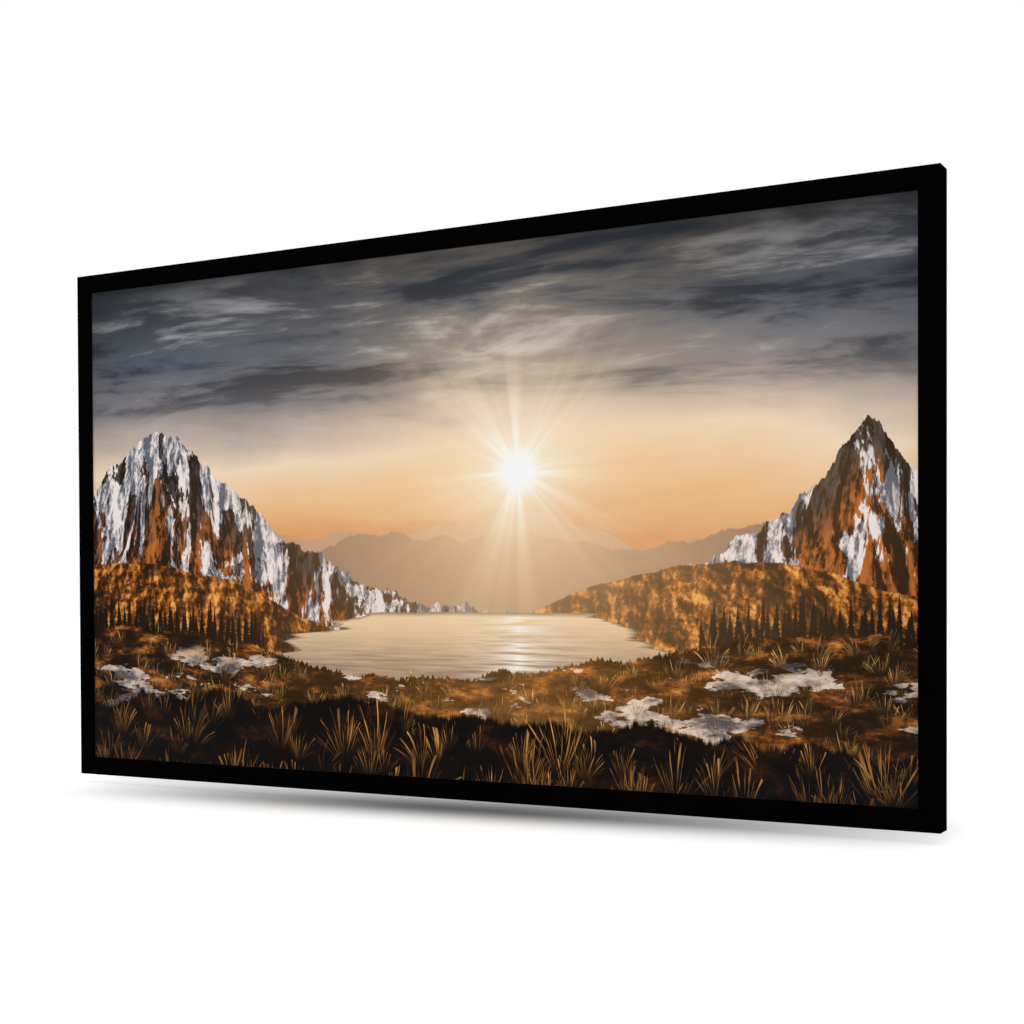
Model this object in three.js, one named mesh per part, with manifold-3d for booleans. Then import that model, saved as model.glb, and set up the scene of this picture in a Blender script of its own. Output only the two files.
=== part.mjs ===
// A fixed frame projector screen for a wall: a woven, acoustically transparent cloth with a 150 inch,
// 16:9 picture, stretched by springs in a deep aluminium frame.
// Millimetres. X runs to the viewer's right, Y into the wall and Z up, so the picture faces -Y.
// The origin is on the wall, at the middle of the back face of the middle top bracket.

import * as THREE from "three";
import { mergeVertices } from "three/addons/utils/BufferGeometryUtils.js";
import Module from "manifold-3d";

const wasm = await Module();
wasm.setup();

// Picture and frame
const PICTURE_WIDTH = 3321;
const PICTURE_HEIGHT = 1868;
const FRAME_FACE = 70; // the border seen round the picture
const FRAME_DEPTH = 80;
const CLEARANCE = 0.3; // between pieces that touch or slide

// Extruded section of the frame
const WALL = 2;
const EDGE_BREAK = 1.5; // chamfer along the outer front edge
const CHAMBER_WIDTH = 28; // closed box along the outer edge
const SLOT_DEPTH = 6; // slot in the back of the box, for the joining plates
const SLOT_MOUTH = 12;
const HANGING_LIP = 8; // the back wall goes on past the box by this much
const TRACK_DEPTH = 5; // second slot, behind the face
const TRACK_LIP = 6;
const GROOVE_WIDTH = 4; // groove that the springs hook into
const GROOVE_LIP = 7;
const BEVEL_WIDTH = 10; // the face falls away towards the picture
const BEVEL_DROP = 9;
const BEVEL_LAND = 2; // between the second slot's wall and the bevel
const BEAD_WIDTH = 3.6; // bead that the cloth is drawn over
const BEAD_DROP = 2.2;
const BEAD_BREAK = 0.8;

// Joining plates and their set screws
const PLATE_THICKNESS = 3;
const CORNER_ARM = 118; // from the frame's outer corner
const SPLICE_LENGTH = 220;
const SET_SCREW_RADIUS = 2.5;
const SET_SCREW_SOCKET = 1.5;
const SET_SCREW_SOCKET_DEPTH = 1.6;
const SET_SCREW_STANDS_OUT = 1.6; // behind the plate
const CORNER_SCREWS = [66, 102]; // from the frame's outer corner
const SPLICE_SCREWS = [32, 86]; // from the joint

// Cloth
const CLOTH_THICKNESS = 0.5;
const BACKING_THICKNESS = 0.4;
const CLOTH_MARGIN = 12; // cloth hidden behind the frame, past the picture
const BAND_THICKNESS = 0.8; // edging band, folded round the rod
const BAND_OVERLAP = 9; // how far the band reaches under the cloth
const BAND_INSET = 10; // the band stops short of the picture's corner
const NOTCH_WIDTH = 26; // opening in the band at each spring

// Rods and springs
const ROD_RADIUS = 3;
const ROD_STANDS_OUT = 8; // past the end of the band
const ROD_TO_PICTURE = 17;
const SPRINGS_PER_HALF = 8; // on each of the two rods of a long side
const SPRINGS_PER_SIDE = 9;
const WIRE_RADIUS = 0.8;
const COIL_RADIUS = 3;
const COIL_LENGTH = 9;

// Support bar behind the cloth
const BAR_WIDTH = 25;
const BAR_DEPTH = 20;
const BAR_WALL = 1.5;
const BAR_FROM_BACK = 10;
const SHOE_WALL = 2.5;
const SHOE_CHEEK = 40;
const SHOE_FOOT = 12; // each side of the cheeks
const SHOE_SCREW_RADIUS = 2;
const SHOE_SCREW_LENGTH = 12;
const SHOE_SCREW_HEAD_RADIUS = 3.8;
const SHOE_SCREW_HEAD = 2.4;
const THUMB_SCREW_RADIUS = 2.5;
const THUMB_SCREW_HEIGHT = 22; // above the shoe's foot
const KNOB_RADIUS = 7;
const KNOB_LENGTH = 8;

// Wall brackets
const STANDOFF = 4; // from the wall to the back of the frame
const BRACKET_THICKNESS = 2.5;
const BRACKET_WIDTH = 60;
const BRACKET_PLATE = 43;
const BRACKET_SPREAD = 1100; // from the middle to the outer brackets
const HOOK_REACH = 11.2; // of a top bracket's tongue above its web
const HOOK_REACH_BOTTOM = 6.7;
const BRACKET_SLOT_LENGTH = 14;
const BRACKET_SLOT_WIDTH = 6;
const BRACKET_SLOT_PITCH = 34;

// What follows from the sizes above. u runs from the frame's outer edge towards the picture, and v from
// the frame's back to its front.
const FRAME_WIDTH = PICTURE_WIDTH + 2 * FRAME_FACE;
const FRAME_HEIGHT = PICTURE_HEIGHT + 2 * FRAME_FACE;
const TRACK_BACK = FRAME_DEPTH - WALL - TRACK_DEPTH;
const TRACK_END = FRAME_FACE - BEVEL_WIDTH - BEVEL_LAND - WALL;
const GROOVE_TIP = TRACK_BACK - WALL - GROOVE_LIP;
const LIP_OUTER = CHAMBER_WIDTH + GROOVE_WIDTH;
const LIP_INNER = LIP_OUTER + WALL;
const BEAD_BACK = FRAME_DEPTH - BEVEL_DROP - BEAD_DROP;
const CLOTH_FRONT = BEAD_BACK - CLEARANCE;
const BACKING_FRONT = CLOTH_FRONT - CLOTH_THICKNESS - CLEARANCE;
const BAND_FRONT = BACKING_FRONT - BACKING_THICKNESS - CLEARANCE;
const LOOP_INNER = ROD_RADIUS + CLEARANCE;
const LOOP_OUTER = LOOP_INNER + BAND_THICKNESS;
const ROD_U = FRAME_FACE - ROD_TO_PICTURE;
const ROD_V = BAND_FRONT - LOOP_OUTER;
const TOP_PLATE_TOP = CHAMBER_WIDTH + CLEARANCE + HOOK_REACH; // u of a top bracket's web
const PLATE_MIDDLE = TOP_PLATE_TOP + BRACKET_THICKNESS + BRACKET_PLATE / 2;
const FRAME_CENTRE_Z = PLATE_MIDDLE - FRAME_HEIGHT / 2;

const materials = {
  rail: new THREE.MeshStandardMaterial({ color: 0x050506, roughness: 0.95, metalness: 0 }),
  steel: new THREE.MeshStandardMaterial({ color: 0xa9adb2, roughness: 0.35, metalness: 1 }),
  aluminium: new THREE.MeshStandardMaterial({ color: 0x9b9ea3, roughness: 0.45, metalness: 1 }),
  bracket: new THREE.MeshStandardMaterial({ color: 0x8d9094, roughness: 0.5, metalness: 1 }),
  picture: new THREE.MeshStandardMaterial({ color: 0xffffff, roughness: 0.9, vertexColors: true }),
  backing: new THREE.MeshStandardMaterial({ color: 0x0c0c0d, roughness: 1 }),
  band: new THREE.MeshStandardMaterial({ color: 0x17171a, roughness: 0.7 }),
  rod: new THREE.MeshStandardMaterial({ color: 0xd9d4c4, roughness: 0.4 }),
  knob: new THREE.MeshStandardMaterial({ color: 0x101012, roughness: 0.5 }),
};

const screen = new THREE.Group();

// Solids

function solidOf(geometry) {
  const bare = geometry.clone();
  bare.deleteAttribute("normal");
  bare.deleteAttribute("uv");
  const merged = mergeVertices(bare, 1e-4);
  return new wasm.Manifold(
    new wasm.Mesh({
      numProp: 3,
      vertProperties: merged.attributes.position.array,
      triVerts: new Uint32Array(merged.index.array),
    }),
  );
}

function geometryOf(solid) {
  const mesh = solid.getMesh();
  const geometry = new THREE.BufferGeometry();
  geometry.setAttribute("position", new THREE.BufferAttribute(mesh.vertProperties, 3));
  geometry.setIndex(new THREE.BufferAttribute(mesh.triVerts, 1));
  geometry.computeVertexNormals();
  return geometry;
}

function shapeOf(points) {
  return new THREE.Shape(points.map(([x, y]) => new THREE.Vector2(x, y)));
}

function extrude(shape, length) {
  return new THREE.ExtrudeGeometry(shape, { depth: length, bevelEnabled: false, curveSegments: 6 });
}

// A section drawn as (y, z) points, swept along X from x0 to x1.
function sweepX(shape, x0, x1) {
  const turn = new THREE.Matrix4().makeBasis(
    new THREE.Vector3(0, 1, 0),
    new THREE.Vector3(0, 0, 1),
    new THREE.Vector3(1, 0, 0),
  );
  return extrude(shape, x1 - x0).applyMatrix4(turn).translate(x0, 0, 0);
}

// An outline drawn as (x, z) points, given thickness from yBack to yFront, where the front has the lower y.
function sweepY(shape, yFront, yBack) {
  return extrude(shape, yBack - yFront).rotateX(Math.PI / 2).translate(0, yBack, 0);
}

// A round or many-sided bar between two points.
function bar(radius, from, to, sides = 8) {
  const start = new THREE.Vector3(...from);
  const end = new THREE.Vector3(...to);
  const along = end.clone().sub(start);
  const turn = new THREE.Quaternion().setFromUnitVectors(
    new THREE.Vector3(0, 1, 0),
    along.clone().normalize(),
  );
  const middle = start.clone().add(end).multiplyScalar(0.5);
  return new THREE.CylinderGeometry(radius, radius, along.length(), sides)
    .applyQuaternion(turn)
    .translate(middle.x, middle.y, middle.z);
}

function addPiece(group, name, geometry, material) {
  const mesh = new THREE.Mesh(geometry, material);
  mesh.name = name;
  group.add(mesh);
  return mesh;
}

// Four frames of reference, one for each side of the screen, turned about the screen's centre so that each
// side's pieces are drawn as the top side's are: x along the side, z outwards. Along the bottom x runs left.

function depthAt(v) {
  return -STANDOFF - v;
}

function makeSide(quarterTurns, halfSpan, halfLength) {
  const group = new THREE.Group();
  group.position.z = FRAME_CENTRE_Z;
  group.rotation.y = (quarterTurns * Math.PI) / 2;
  screen.add(group);
  return { group, halfSpan, halfLength, at: (u, v) => [depthAt(v), halfSpan - u] };
}

const sides = {
  top: makeSide(0, FRAME_HEIGHT / 2, FRAME_WIDTH / 2),
  right: makeSide(1, FRAME_WIDTH / 2, FRAME_HEIGHT / 2),
  bottom: makeSide(2, FRAME_HEIGHT / 2, FRAME_WIDTH / 2),
  left: makeSide(3, FRAME_WIDTH / 2, FRAME_HEIGHT / 2),
};

// Frame rails

function railSection(side) {
  const mouth = [(CHAMBER_WIDTH - SLOT_MOUTH) / 2, (CHAMBER_WIDTH + SLOT_MOUTH) / 2];
  const slotEnds = [WALL, CHAMBER_WIDTH - WALL];
  const slotFloor = WALL + SLOT_DEPTH;
  const faceBack = FRAME_DEPTH - WALL;
  const lipBack = TRACK_BACK - WALL;
  const bevelLength = Math.hypot(BEVEL_WIDTH, BEVEL_DROP);
  const slope = BEVEL_DROP / BEVEL_WIDTH;
  const innerStart = [
    FRAME_FACE - BEVEL_WIDTH - (WALL * BEVEL_DROP) / bevelLength,
    FRAME_DEPTH - (WALL * BEVEL_WIDTH) / bevelLength,
  ];
  const beadOuter = FRAME_FACE - BEAD_WIDTH;
  const outline = [
    [0, 0],
    [mouth[0], 0],
    [mouth[0], WALL],
    [slotEnds[0], WALL],
    [slotEnds[0], slotFloor],
    [slotEnds[1], slotFloor],
    [slotEnds[1], WALL],
    [mouth[1], WALL],
    [mouth[1], 0],
    [CHAMBER_WIDTH + HANGING_LIP, 0],
    [CHAMBER_WIDTH + HANGING_LIP, WALL],
    [CHAMBER_WIDTH, WALL],
    [CHAMBER_WIDTH, lipBack],
    [LIP_OUTER, lipBack],
    [LIP_OUTER, GROOVE_TIP],
    [LIP_INNER, GROOVE_TIP],
    [LIP_INNER, TRACK_BACK],
    [CHAMBER_WIDTH, TRACK_BACK],
    [CHAMBER_WIDTH, faceBack],
    [TRACK_END, faceBack],
    [TRACK_END, TRACK_BACK],
    [TRACK_END - TRACK_LIP, TRACK_BACK],
    [TRACK_END - TRACK_LIP, lipBack],
    [TRACK_END + WALL, lipBack],
    [TRACK_END + WALL, faceBack],
    [innerStart[0] + (innerStart[1] - faceBack) / slope, faceBack],
    [beadOuter, innerStart[1] - (beadOuter - innerStart[0]) * slope],
    [beadOuter, BEAD_BACK + BEAD_BREAK],
    [beadOuter + BEAD_BREAK, BEAD_BACK],
    [FRAME_FACE - BEAD_BREAK, BEAD_BACK],
    [FRAME_FACE, BEAD_BACK + BEAD_BREAK],
    [FRAME_FACE, FRAME_DEPTH - BEVEL_DROP],
    [FRAME_FACE - BEVEL_WIDTH, FRAME_DEPTH],
    [EDGE_BREAK, FRAME_DEPTH],
    [0, FRAME_DEPTH - EDGE_BREAK],
  ];
  const chamber = [
    [WALL, slotFloor + WALL],
    [WALL, faceBack],
    [CHAMBER_WIDTH - WALL, faceBack],
    [CHAMBER_WIDTH - WALL, slotFloor + WALL],
  ];
  const shape = shapeOf(outline.map(([u, v]) => side.at(u, v)));
  shape.holes.push(new THREE.Path(chamber.map(([u, v]) => new THREE.Vector2(...side.at(u, v)))));
  return shape;
}

// The rail is swept from x = 0 to x = 1. Each end's points then go where startAt and endAt put them, as a mitre.
function railGeometry(side, startAt, endAt) {
  const geometry = sweepX(railSection(side), 0, 1);
  const position = geometry.attributes.position;
  for (let i = 0; i < position.count; i++) {
    const u = side.halfSpan - position.getZ(i);
    position.setX(i, position.getX(i) < 0.5 ? startAt(u) : endAt(u));
  }
  return geometry;
}

const mitreGap = (CLEARANCE / 2) * Math.SQRT2;
const shoeScrewX = BAR_WIDTH / 2 + SHOE_WALL + SHOE_FOOT / 2;
const shoeScrewV = BAR_FROM_BACK + BAR_DEPTH / 2;

function drillForShoe(side, geometry, x) {
  const [y, z] = side.at(CHAMBER_WIDTH, shoeScrewV);
  const drill = bar(SHOE_SCREW_RADIUS + CLEARANCE, [x, y, z - WALL], [x, y, z + 2 * WALL], 10);
  return geometryOf(solidOf(geometry).subtract(solidOf(drill)));
}

function addLongRails(side, names) {
  const mitre = (u) => side.halfLength - u - mitreGap;
  const low = railGeometry(side, (u) => -mitre(u), () => -CLEARANCE / 2);
  const high = railGeometry(side, () => CLEARANCE / 2, mitre);
  addPiece(side.group, names[0], drillForShoe(side, low, -shoeScrewX), materials.rail);
  addPiece(side.group, names[1], drillForShoe(side, high, shoeScrewX), materials.rail);
}

function addShortRail(side, name) {
  const mitre = (u) => side.halfLength - u - mitreGap;
  addPiece(side.group, name, railGeometry(side, (u) => -mitre(u), mitre), materials.rail);
}

addLongRails(sides.top, ["top_rail_left", "top_rail_right"]);
addLongRails(sides.bottom, ["bottom_rail_right", "bottom_rail_left"]);
addShortRail(sides.left, "side_rail_left");
addShortRail(sides.right, "side_rail_right");

// Joining plates: each lies in one of the rails' two slots, and its set screws press on the slot's floor.

const rearSlot = {
  u: [WALL + CLEARANCE, CHAMBER_WIDTH - WALL - CLEARANCE],
  screwU: CHAMBER_WIDTH / 2,
  v: WALL + CLEARANCE,
  floor: WALL + SLOT_DEPTH - CLEARANCE,
};
const frontSlot = {
  u: [CHAMBER_WIDTH + CLEARANCE, TRACK_END - CLEARANCE],
  screwU: (LIP_INNER + TRACK_END - TRACK_LIP) / 2,
  v: TRACK_BACK + CLEARANCE,
  floor: FRAME_DEPTH - WALL - CLEARANCE,
};

// Screws stand at points given as [x, z], and each has a hexagon socket at its back end.
function withSetScrews(plate, slot, points) {
  let solid = solidOf(plate);
  const back = depthAt(slot.v - SET_SCREW_STANDS_OUT);
  const front = depthAt(slot.floor);
  for (const [x, z] of points)
    solid = solid.add(solidOf(bar(SET_SCREW_RADIUS, [x, front, z], [x, back, z], 8)));
  for (const [x, z] of points) {
    const bottom = back - SET_SCREW_SOCKET_DEPTH;
    solid = solid.subtract(solidOf(bar(SET_SCREW_SOCKET, [x, bottom, z], [x, back + 1, z], 6)));
  }
  return geometryOf(solid);
}

// A corner plate is drawn at the top right corner, with the frame's outer corner at x = 0, z = 0.
function cornerPlateGeometry(slot) {
  const [outer, inner] = slot.u;
  const outline = [
    [-outer, -outer],
    [-CORNER_ARM, -outer],
    [-CORNER_ARM, -inner],
    [-inner, -inner],
    [-inner, -CORNER_ARM],
    [-outer, -CORNER_ARM],
  ];
  const plate = sweepY(shapeOf(outline), depthAt(slot.v + PLATE_THICKNESS), depthAt(slot.v));
  const points = CORNER_SCREWS.flatMap((d) => [
    [-d, -slot.screwU],
    [-slot.screwU, -d],
  ]);
  return withSetScrews(plate, slot, points);
}

const corners = [
  ["top_right", 1, 1],
  ["bottom_right", 1, -1],
  ["bottom_left", -1, -1],
  ["top_left", -1, 1],
];
corners.forEach(([name, right, up], quarterTurns) => {
  const group = new THREE.Group();
  group.position.set((right * FRAME_WIDTH) / 2, 0, FRAME_CENTRE_Z + (up * FRAME_HEIGHT) / 2);
  group.rotation.y = (quarterTurns * Math.PI) / 2;
  screen.add(group);
  addPiece(group, `corner_plate_rear_${name}`, cornerPlateGeometry(rearSlot), materials.steel);
  addPiece(group, `corner_plate_front_${name}`, cornerPlateGeometry(frontSlot), materials.steel);
});

function addSplice(side, slot, name) {
  const half = SPLICE_LENGTH / 2;
  const [outer, inner] = slot.u.map((u) => side.halfSpan - u);
  const outline = [
    [-half, inner],
    [half, inner],
    [half, outer],
    [-half, outer],
  ];
  const plate = sweepY(shapeOf(outline), depthAt(slot.v + PLATE_THICKNESS), depthAt(slot.v));
  const z = side.halfSpan - slot.screwU;
  const points = SPLICE_SCREWS.flatMap((x) => [
    [-x, z],
    [x, z],
  ]);
  addPiece(side.group, name, withSetScrews(plate, slot, points), materials.steel);
}

for (const name of ["top", "bottom"]) {
  addSplice(sides[name], rearSlot, `splice_plate_rear_${name}`);
  addSplice(sides[name], frontSlot, `splice_plate_front_${name}`);
}

// Screen cloth. Its front shows a made-up evening landscape as fields of one colour each. A field reaches
// from the line below it up to its own line, and has no height where its line is no higher than the one below.
// s runs from 0 to 1 along the cloth, and a line's height is a share of the cloth's height.

const COLUMNS = 60;
const SUN = { s: 0.585, height: 0.575, across: 0.026, up: 0.046 };

function hump(s, middle, width) {
  return Math.max(0, 1 - Math.abs(s - middle) / width);
}

function sunEdge(s, up) {
  const reach = 1 - ((s - SUN.s) / SUN.across) ** 2;
  return reach > 0 ? SUN.height + up * SUN.up * Math.sqrt(reach) : 0;
}

const fields = [
  { colour: 0x120c08, line: (s) => 0.13 + 0.03 * Math.sin(5 * s) },
  { colour: 0x7a4718, line: (s) => 0.24 + 0.05 * Math.cos(6.5 * s) },
  { colour: 0xe9c08a, line: (s) => 0.22 + 0.15 * Math.sqrt(hump(s, 0.52, 0.24)) },
  { colour: 0x9a5a22, line: (s) => 0.36 + 0.05 * Math.sin(9 * s + 1) },
  { colour: 0x2b2c33, line: (s) => 0.3 + 0.34 * hump(s, 0.1, 0.38) + 0.26 * hump(s, 0.95, 0.3) },
  { colour: 0xd9d6dd, line: (s) => 0.36 + 0.34 * hump(s, 0.1, 0.16) + 0.24 * hump(s, 0.95, 0.12) },
  { colour: 0x8d6a58, line: (s) => 0.45 + 0.03 * Math.sin(14 * s) },
  { colour: 0xf6dfc0, line: (s) => sunEdge(s, -1) },
  { colour: 0xffffff, line: (s) => sunEdge(s, 1) },
  { colour: 0xf3d9ba, line: () => 0.66 },
  { colour: 0xa79a98, line: (s) => 0.76 + 0.02 * Math.sin(7 * s) },
  { colour: 0x6a707a, line: (s) => 0.88 + 0.02 * Math.sin(5 * s + 2) },
  { colour: 0x3d424b, line: () => 1 },
];

function clothGeometry(width, height, front, back) {
  const points = [];
  const colours = [];
  const plain = new THREE.Color(0xf2f2ee);
  const corner = (s, t, y) => [(s - 0.5) * width, y, (t - 0.5) * height];
  const triangle = (a, b, c, colour) => {
    const same = (p, q) => p.every((value, i) => value === q[i]);
    if (same(a, b) || same(b, c) || same(a, c)) return;
    points.push(...a, ...b, ...c);
    for (let i = 0; i < 3; i++) colours.push(colour.r, colour.g, colour.b);
  };
  const quad = (a, b, c, d, colour) => {
    triangle(a, b, c, colour);
    triangle(a, c, d, colour);
  };
  const linesAt = (s) => {
    const heights = [0];
    for (const field of fields) {
      const below = heights[heights.length - 1];
      const above = field.line(s);
      heights.push(above > below + 0.002 ? above : below);
    }
    return heights;
  };
  const columns = Array.from({ length: COLUMNS + 1 }, (_, i) => i / COLUMNS);
  for (let i = 0; i < COLUMNS; i++) {
    const [s0, s1] = [columns[i], columns[i + 1]];
    const [low, high] = [linesAt(s0), linesAt(s1)];
    fields.forEach((field, k) => {
      const colour = new THREE.Color(field.colour);
      quad(
        corner(s0, low[k], front),
        corner(s1, high[k], front),
        corner(s1, high[k + 1], front),
        corner(s0, low[k + 1], front),
        colour,
      );
    });
    quad(corner(s0, 0, back), corner(s1, 0, back), corner(s1, 0, front), corner(s0, 0, front), plain);
    quad(corner(s0, 1, front), corner(s1, 1, front), corner(s1, 1, back), corner(s0, 1, back), plain);
    quad(corner(s0, 1, back), corner(s1, 1, back), corner(s1, 0, back), corner(s0, 0, back), plain);
  }
  for (const s of [0, 1]) {
    const heights = linesAt(s);
    const rim = heights.filter((t, k) => k === 0 || t !== heights[k - 1]);
    const fan = [corner(s, 1, back), ...rim.map((t) => corner(s, t, front)).reverse()];
    const far = corner(s, 0, back);
    for (let k = 0; k < fan.length - 1; k++)
      if (s === 0) triangle(far, fan[k + 1], fan[k], plain);
      else triangle(far, fan[k], fan[k + 1], plain);
  }
  const geometry = new THREE.BufferGeometry();
  geometry.setAttribute("position", new THREE.Float32BufferAttribute(points, 3));
  geometry.setAttribute("color", new THREE.Float32BufferAttribute(colours, 3));
  geometry.computeVertexNormals();
  return geometry;
}

const clothWidth = PICTURE_WIDTH + 2 * CLOTH_MARGIN;
const clothHeight = PICTURE_HEIGHT + 2 * CLOTH_MARGIN;

const cloth = addPiece(
  screen,
  "screen_fabric",
  clothGeometry(clothWidth, clothHeight, depthAt(CLOTH_FRONT), depthAt(CLOTH_FRONT - CLOTH_THICKNESS)),
  materials.picture,
);
cloth.position.z = FRAME_CENTRE_Z;

const backing = addPiece(
  screen,
  "black_backing",
  new THREE.BoxGeometry(clothWidth, BACKING_THICKNESS, clothHeight),
  materials.backing,
);
backing.position.set(0, depthAt(BACKING_FRONT - BACKING_THICKNESS / 2), FRAME_CENTRE_Z);

// Edging bands: sewn under the cloth's edge, folded into a sleeve round the rod and notched at each spring.

function springStations(count, length) {
  return Array.from({ length: count }, (_, i) => (length * (i + 0.5)) / count);
}

function bandHalfLength(side) {
  return side.halfLength - FRAME_FACE - BAND_INSET;
}

const halfStations = springStations(SPRINGS_PER_HALF, bandHalfLength(sides.top));
const longStations = [...halfStations.map((x) => -x).reverse(), ...halfStations];
const shortStations = springStations(SPRINGS_PER_SIDE, 2 * bandHalfLength(sides.left)).map(
  (x) => x - bandHalfLength(sides.left),
);

function bandSection(side) {
  const ring = (radius, from, to, steps) =>
    Array.from({ length: steps + 1 }, (_, i) => {
      const angle = from + ((to - from) * i) / steps;
      return [ROD_U + radius * Math.cos(angle), ROD_V + radius * Math.sin(angle)];
    });
  const bandEnd = FRAME_FACE - CLOTH_MARGIN + BAND_OVERLAP;
  const bandBack = BAND_FRONT - BAND_THICKNESS;
  const joins = Math.asin((bandBack - ROD_V) / LOOP_OUTER);
  const outline = [
    [bandEnd, bandBack],
    [bandEnd, BAND_FRONT],
    ...ring(LOOP_OUTER, Math.PI / 2, 2 * Math.PI + joins, 10),
  ];
  const shape = shapeOf(outline.map(([u, v]) => side.at(u, v)));
  const inner = ring(LOOP_INNER, 2 * Math.PI, 0, 10).slice(0, -1);
  shape.holes.push(new THREE.Path(inner.map(([u, v]) => new THREE.Vector2(...side.at(u, v)))));
  return shape;
}

function addBand(side, name, stations) {
  const half = bandHalfLength(side);
  let solid = solidOf(sweepX(bandSection(side), -half, half));
  const [yBack, zOut] = side.at(ROD_U - 2 * LOOP_OUTER, ROD_V - 2 * LOOP_OUTER);
  const [yFront, zIn] = side.at(ROD_U + LOOP_OUTER + CLEARANCE, BAND_FRONT - BAND_THICKNESS);
  for (const x of stations) {
    const notch = new THREE.BoxGeometry(NOTCH_WIDTH, yBack - yFront, zOut - zIn);
    notch.translate(x, (yBack + yFront) / 2, (zOut + zIn) / 2);
    solid = solid.subtract(solidOf(notch));
  }
  addPiece(side.group, name, geometryOf(solid), materials.band);
}

addBand(sides.top, "edging_top", longStations);
addBand(sides.bottom, "edging_bottom", longStations);
addBand(sides.left, "edging_left", shortStations);
addBand(sides.right, "edging_right", shortStations);

// Tension rods. A rod carries its springs: each is a coil's outer shape with two bent wire ends.

function springSolids(side, x) {
  const coilStart = (LIP_INNER + ROD_U - ROD_RADIUS - COIL_LENGTH) / 2;
  const hookU = LIP_OUTER - CLEARANCE - WIRE_RADIUS;
  const [y, rodZ] = side.at(ROD_U, ROD_V);
  const [, coilNear] = side.at(coilStart + COIL_LENGTH, ROD_V);
  const [, coilFar] = side.at(coilStart, ROD_V);
  const [, hookZ] = side.at(hookU, ROD_V);
  const tip = depthAt(GROOVE_TIP + GROOVE_LIP - 2 * WIRE_RADIUS);
  return [
    bar(COIL_RADIUS, [x, y, coilNear], [x, y, coilFar], 8),
    bar(WIRE_RADIUS, [x, y, rodZ], [x, y, hookZ + WIRE_RADIUS], 4),
    bar(WIRE_RADIUS, [x, y + WIRE_RADIUS / 2, hookZ], [x, tip, hookZ], 4),
  ].map(solidOf);
}

function addRod(side, name, from, to, stations) {
  const [y, z] = side.at(ROD_U, ROD_V);
  let solid = solidOf(bar(ROD_RADIUS, [from, y, z], [to, y, z], 10));
  for (const x of stations)
    for (const piece of springSolids(side, x)) solid = solid.add(piece);
  addPiece(side.group, name, geometryOf(solid), materials.rod);
}

function addLongRods(side, names) {
  const reach = bandHalfLength(side) + ROD_STANDS_OUT;
  const far = halfStations.map((x) => -x);
  addRod(side, names[0], -reach, -CLEARANCE / 2, far);
  addRod(side, names[1], CLEARANCE / 2, reach, halfStations);
}

function addShortRod(side, name) {
  const reach = bandHalfLength(side) + ROD_STANDS_OUT;
  addRod(side, name, -reach, reach, shortStations);
}

addLongRods(sides.top, ["tension_rod_top_left", "tension_rod_top_right"]);
addLongRods(sides.bottom, ["tension_rod_bottom_right", "tension_rod_bottom_left"]);
addShortRod(sides.left, "tension_rod_left");
addShortRod(sides.right, "tension_rod_right");

// Support bar: a tube between two shoes, which are screwed to the rails and clamp it with a thumb screw.

const footInner = CHAMBER_WIDTH + CLEARANCE + SHOE_WALL;
const barHalfLength = FRAME_HEIGHT / 2 - footInner - CLEARANCE;
const barMiddleY = depthAt(BAR_FROM_BACK + BAR_DEPTH / 2);

function rectangle(width, depth) {
  const [x, y] = [width / 2, depth / 2];
  return [
    [-x, -y],
    [x, -y],
    [x, y],
    [-x, y],
  ];
}

const barShape = shapeOf(rectangle(BAR_WIDTH, BAR_DEPTH));
const barBore = rectangle(BAR_WIDTH - 2 * BAR_WALL, BAR_DEPTH - 2 * BAR_WALL);
barShape.holes.push(new THREE.Path(barBore.map(([x, y]) => new THREE.Vector2(x, y))));
const supportBar = addPiece(
  screen,
  "support_bar",
  extrude(barShape, 2 * barHalfLength).translate(0, 0, -barHalfLength),
  materials.aluminium,
);
supportBar.position.set(0, barMiddleY, FRAME_CENTRE_Z);

function shoeGeometry(side) {
  const cheekIn = BAR_WIDTH / 2 + CLEARANCE;
  const cheekOut = cheekIn + SHOE_WALL;
  const footOut = cheekOut + SHOE_FOOT;
  const footTop = side.halfSpan - CHAMBER_WIDTH - CLEARANCE;
  const footBottom = footTop - SHOE_WALL;
  const cheekEnd = footBottom - SHOE_CHEEK;
  const outline = [
    [-footOut, footTop],
    [-footOut, footBottom],
    [-cheekOut, footBottom],
    [-cheekOut, cheekEnd],
    [-cheekIn, cheekEnd],
    [-cheekIn, footBottom],
    [cheekIn, footBottom],
    [cheekIn, cheekEnd],
    [cheekOut, cheekEnd],
    [cheekOut, footBottom],
    [footOut, footBottom],
    [footOut, footTop],
  ];
  const half = BAR_DEPTH / 2;
  let solid = solidOf(sweepY(shapeOf(outline), barMiddleY - half, barMiddleY + half));
  for (const x of [-shoeScrewX, shoeScrewX]) {
    const ends = [footBottom - SHOE_WALL, footTop + SHOE_WALL];
    const hole = bar(SHOE_SCREW_RADIUS + CLEARANCE, [x, barMiddleY, ends[0]], [x, barMiddleY, ends[1]], 10);
    solid = solid.subtract(solidOf(hole));
  }
  const z = footBottom - THUMB_SCREW_HEIGHT;
  const radius = THUMB_SCREW_RADIUS + CLEARANCE;
  const hole = bar(radius, [cheekIn - SHOE_WALL, barMiddleY, z], [cheekOut + SHOE_WALL, barMiddleY, z], 10);
  return geometryOf(solid.subtract(solidOf(hole)));
}

function shoeScrewGeometry(side, x) {
  const seat = side.halfSpan - footInner - CLEARANCE;
  const y = barMiddleY;
  const head = bar(SHOE_SCREW_HEAD_RADIUS, [x, y, seat - SHOE_SCREW_HEAD], [x, y, seat], 10);
  const shank = bar(SHOE_SCREW_RADIUS, [x, y, seat - 1], [x, y, seat + SHOE_SCREW_LENGTH], 8);
  return geometryOf(solidOf(head).add(solidOf(shank)));
}

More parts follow.
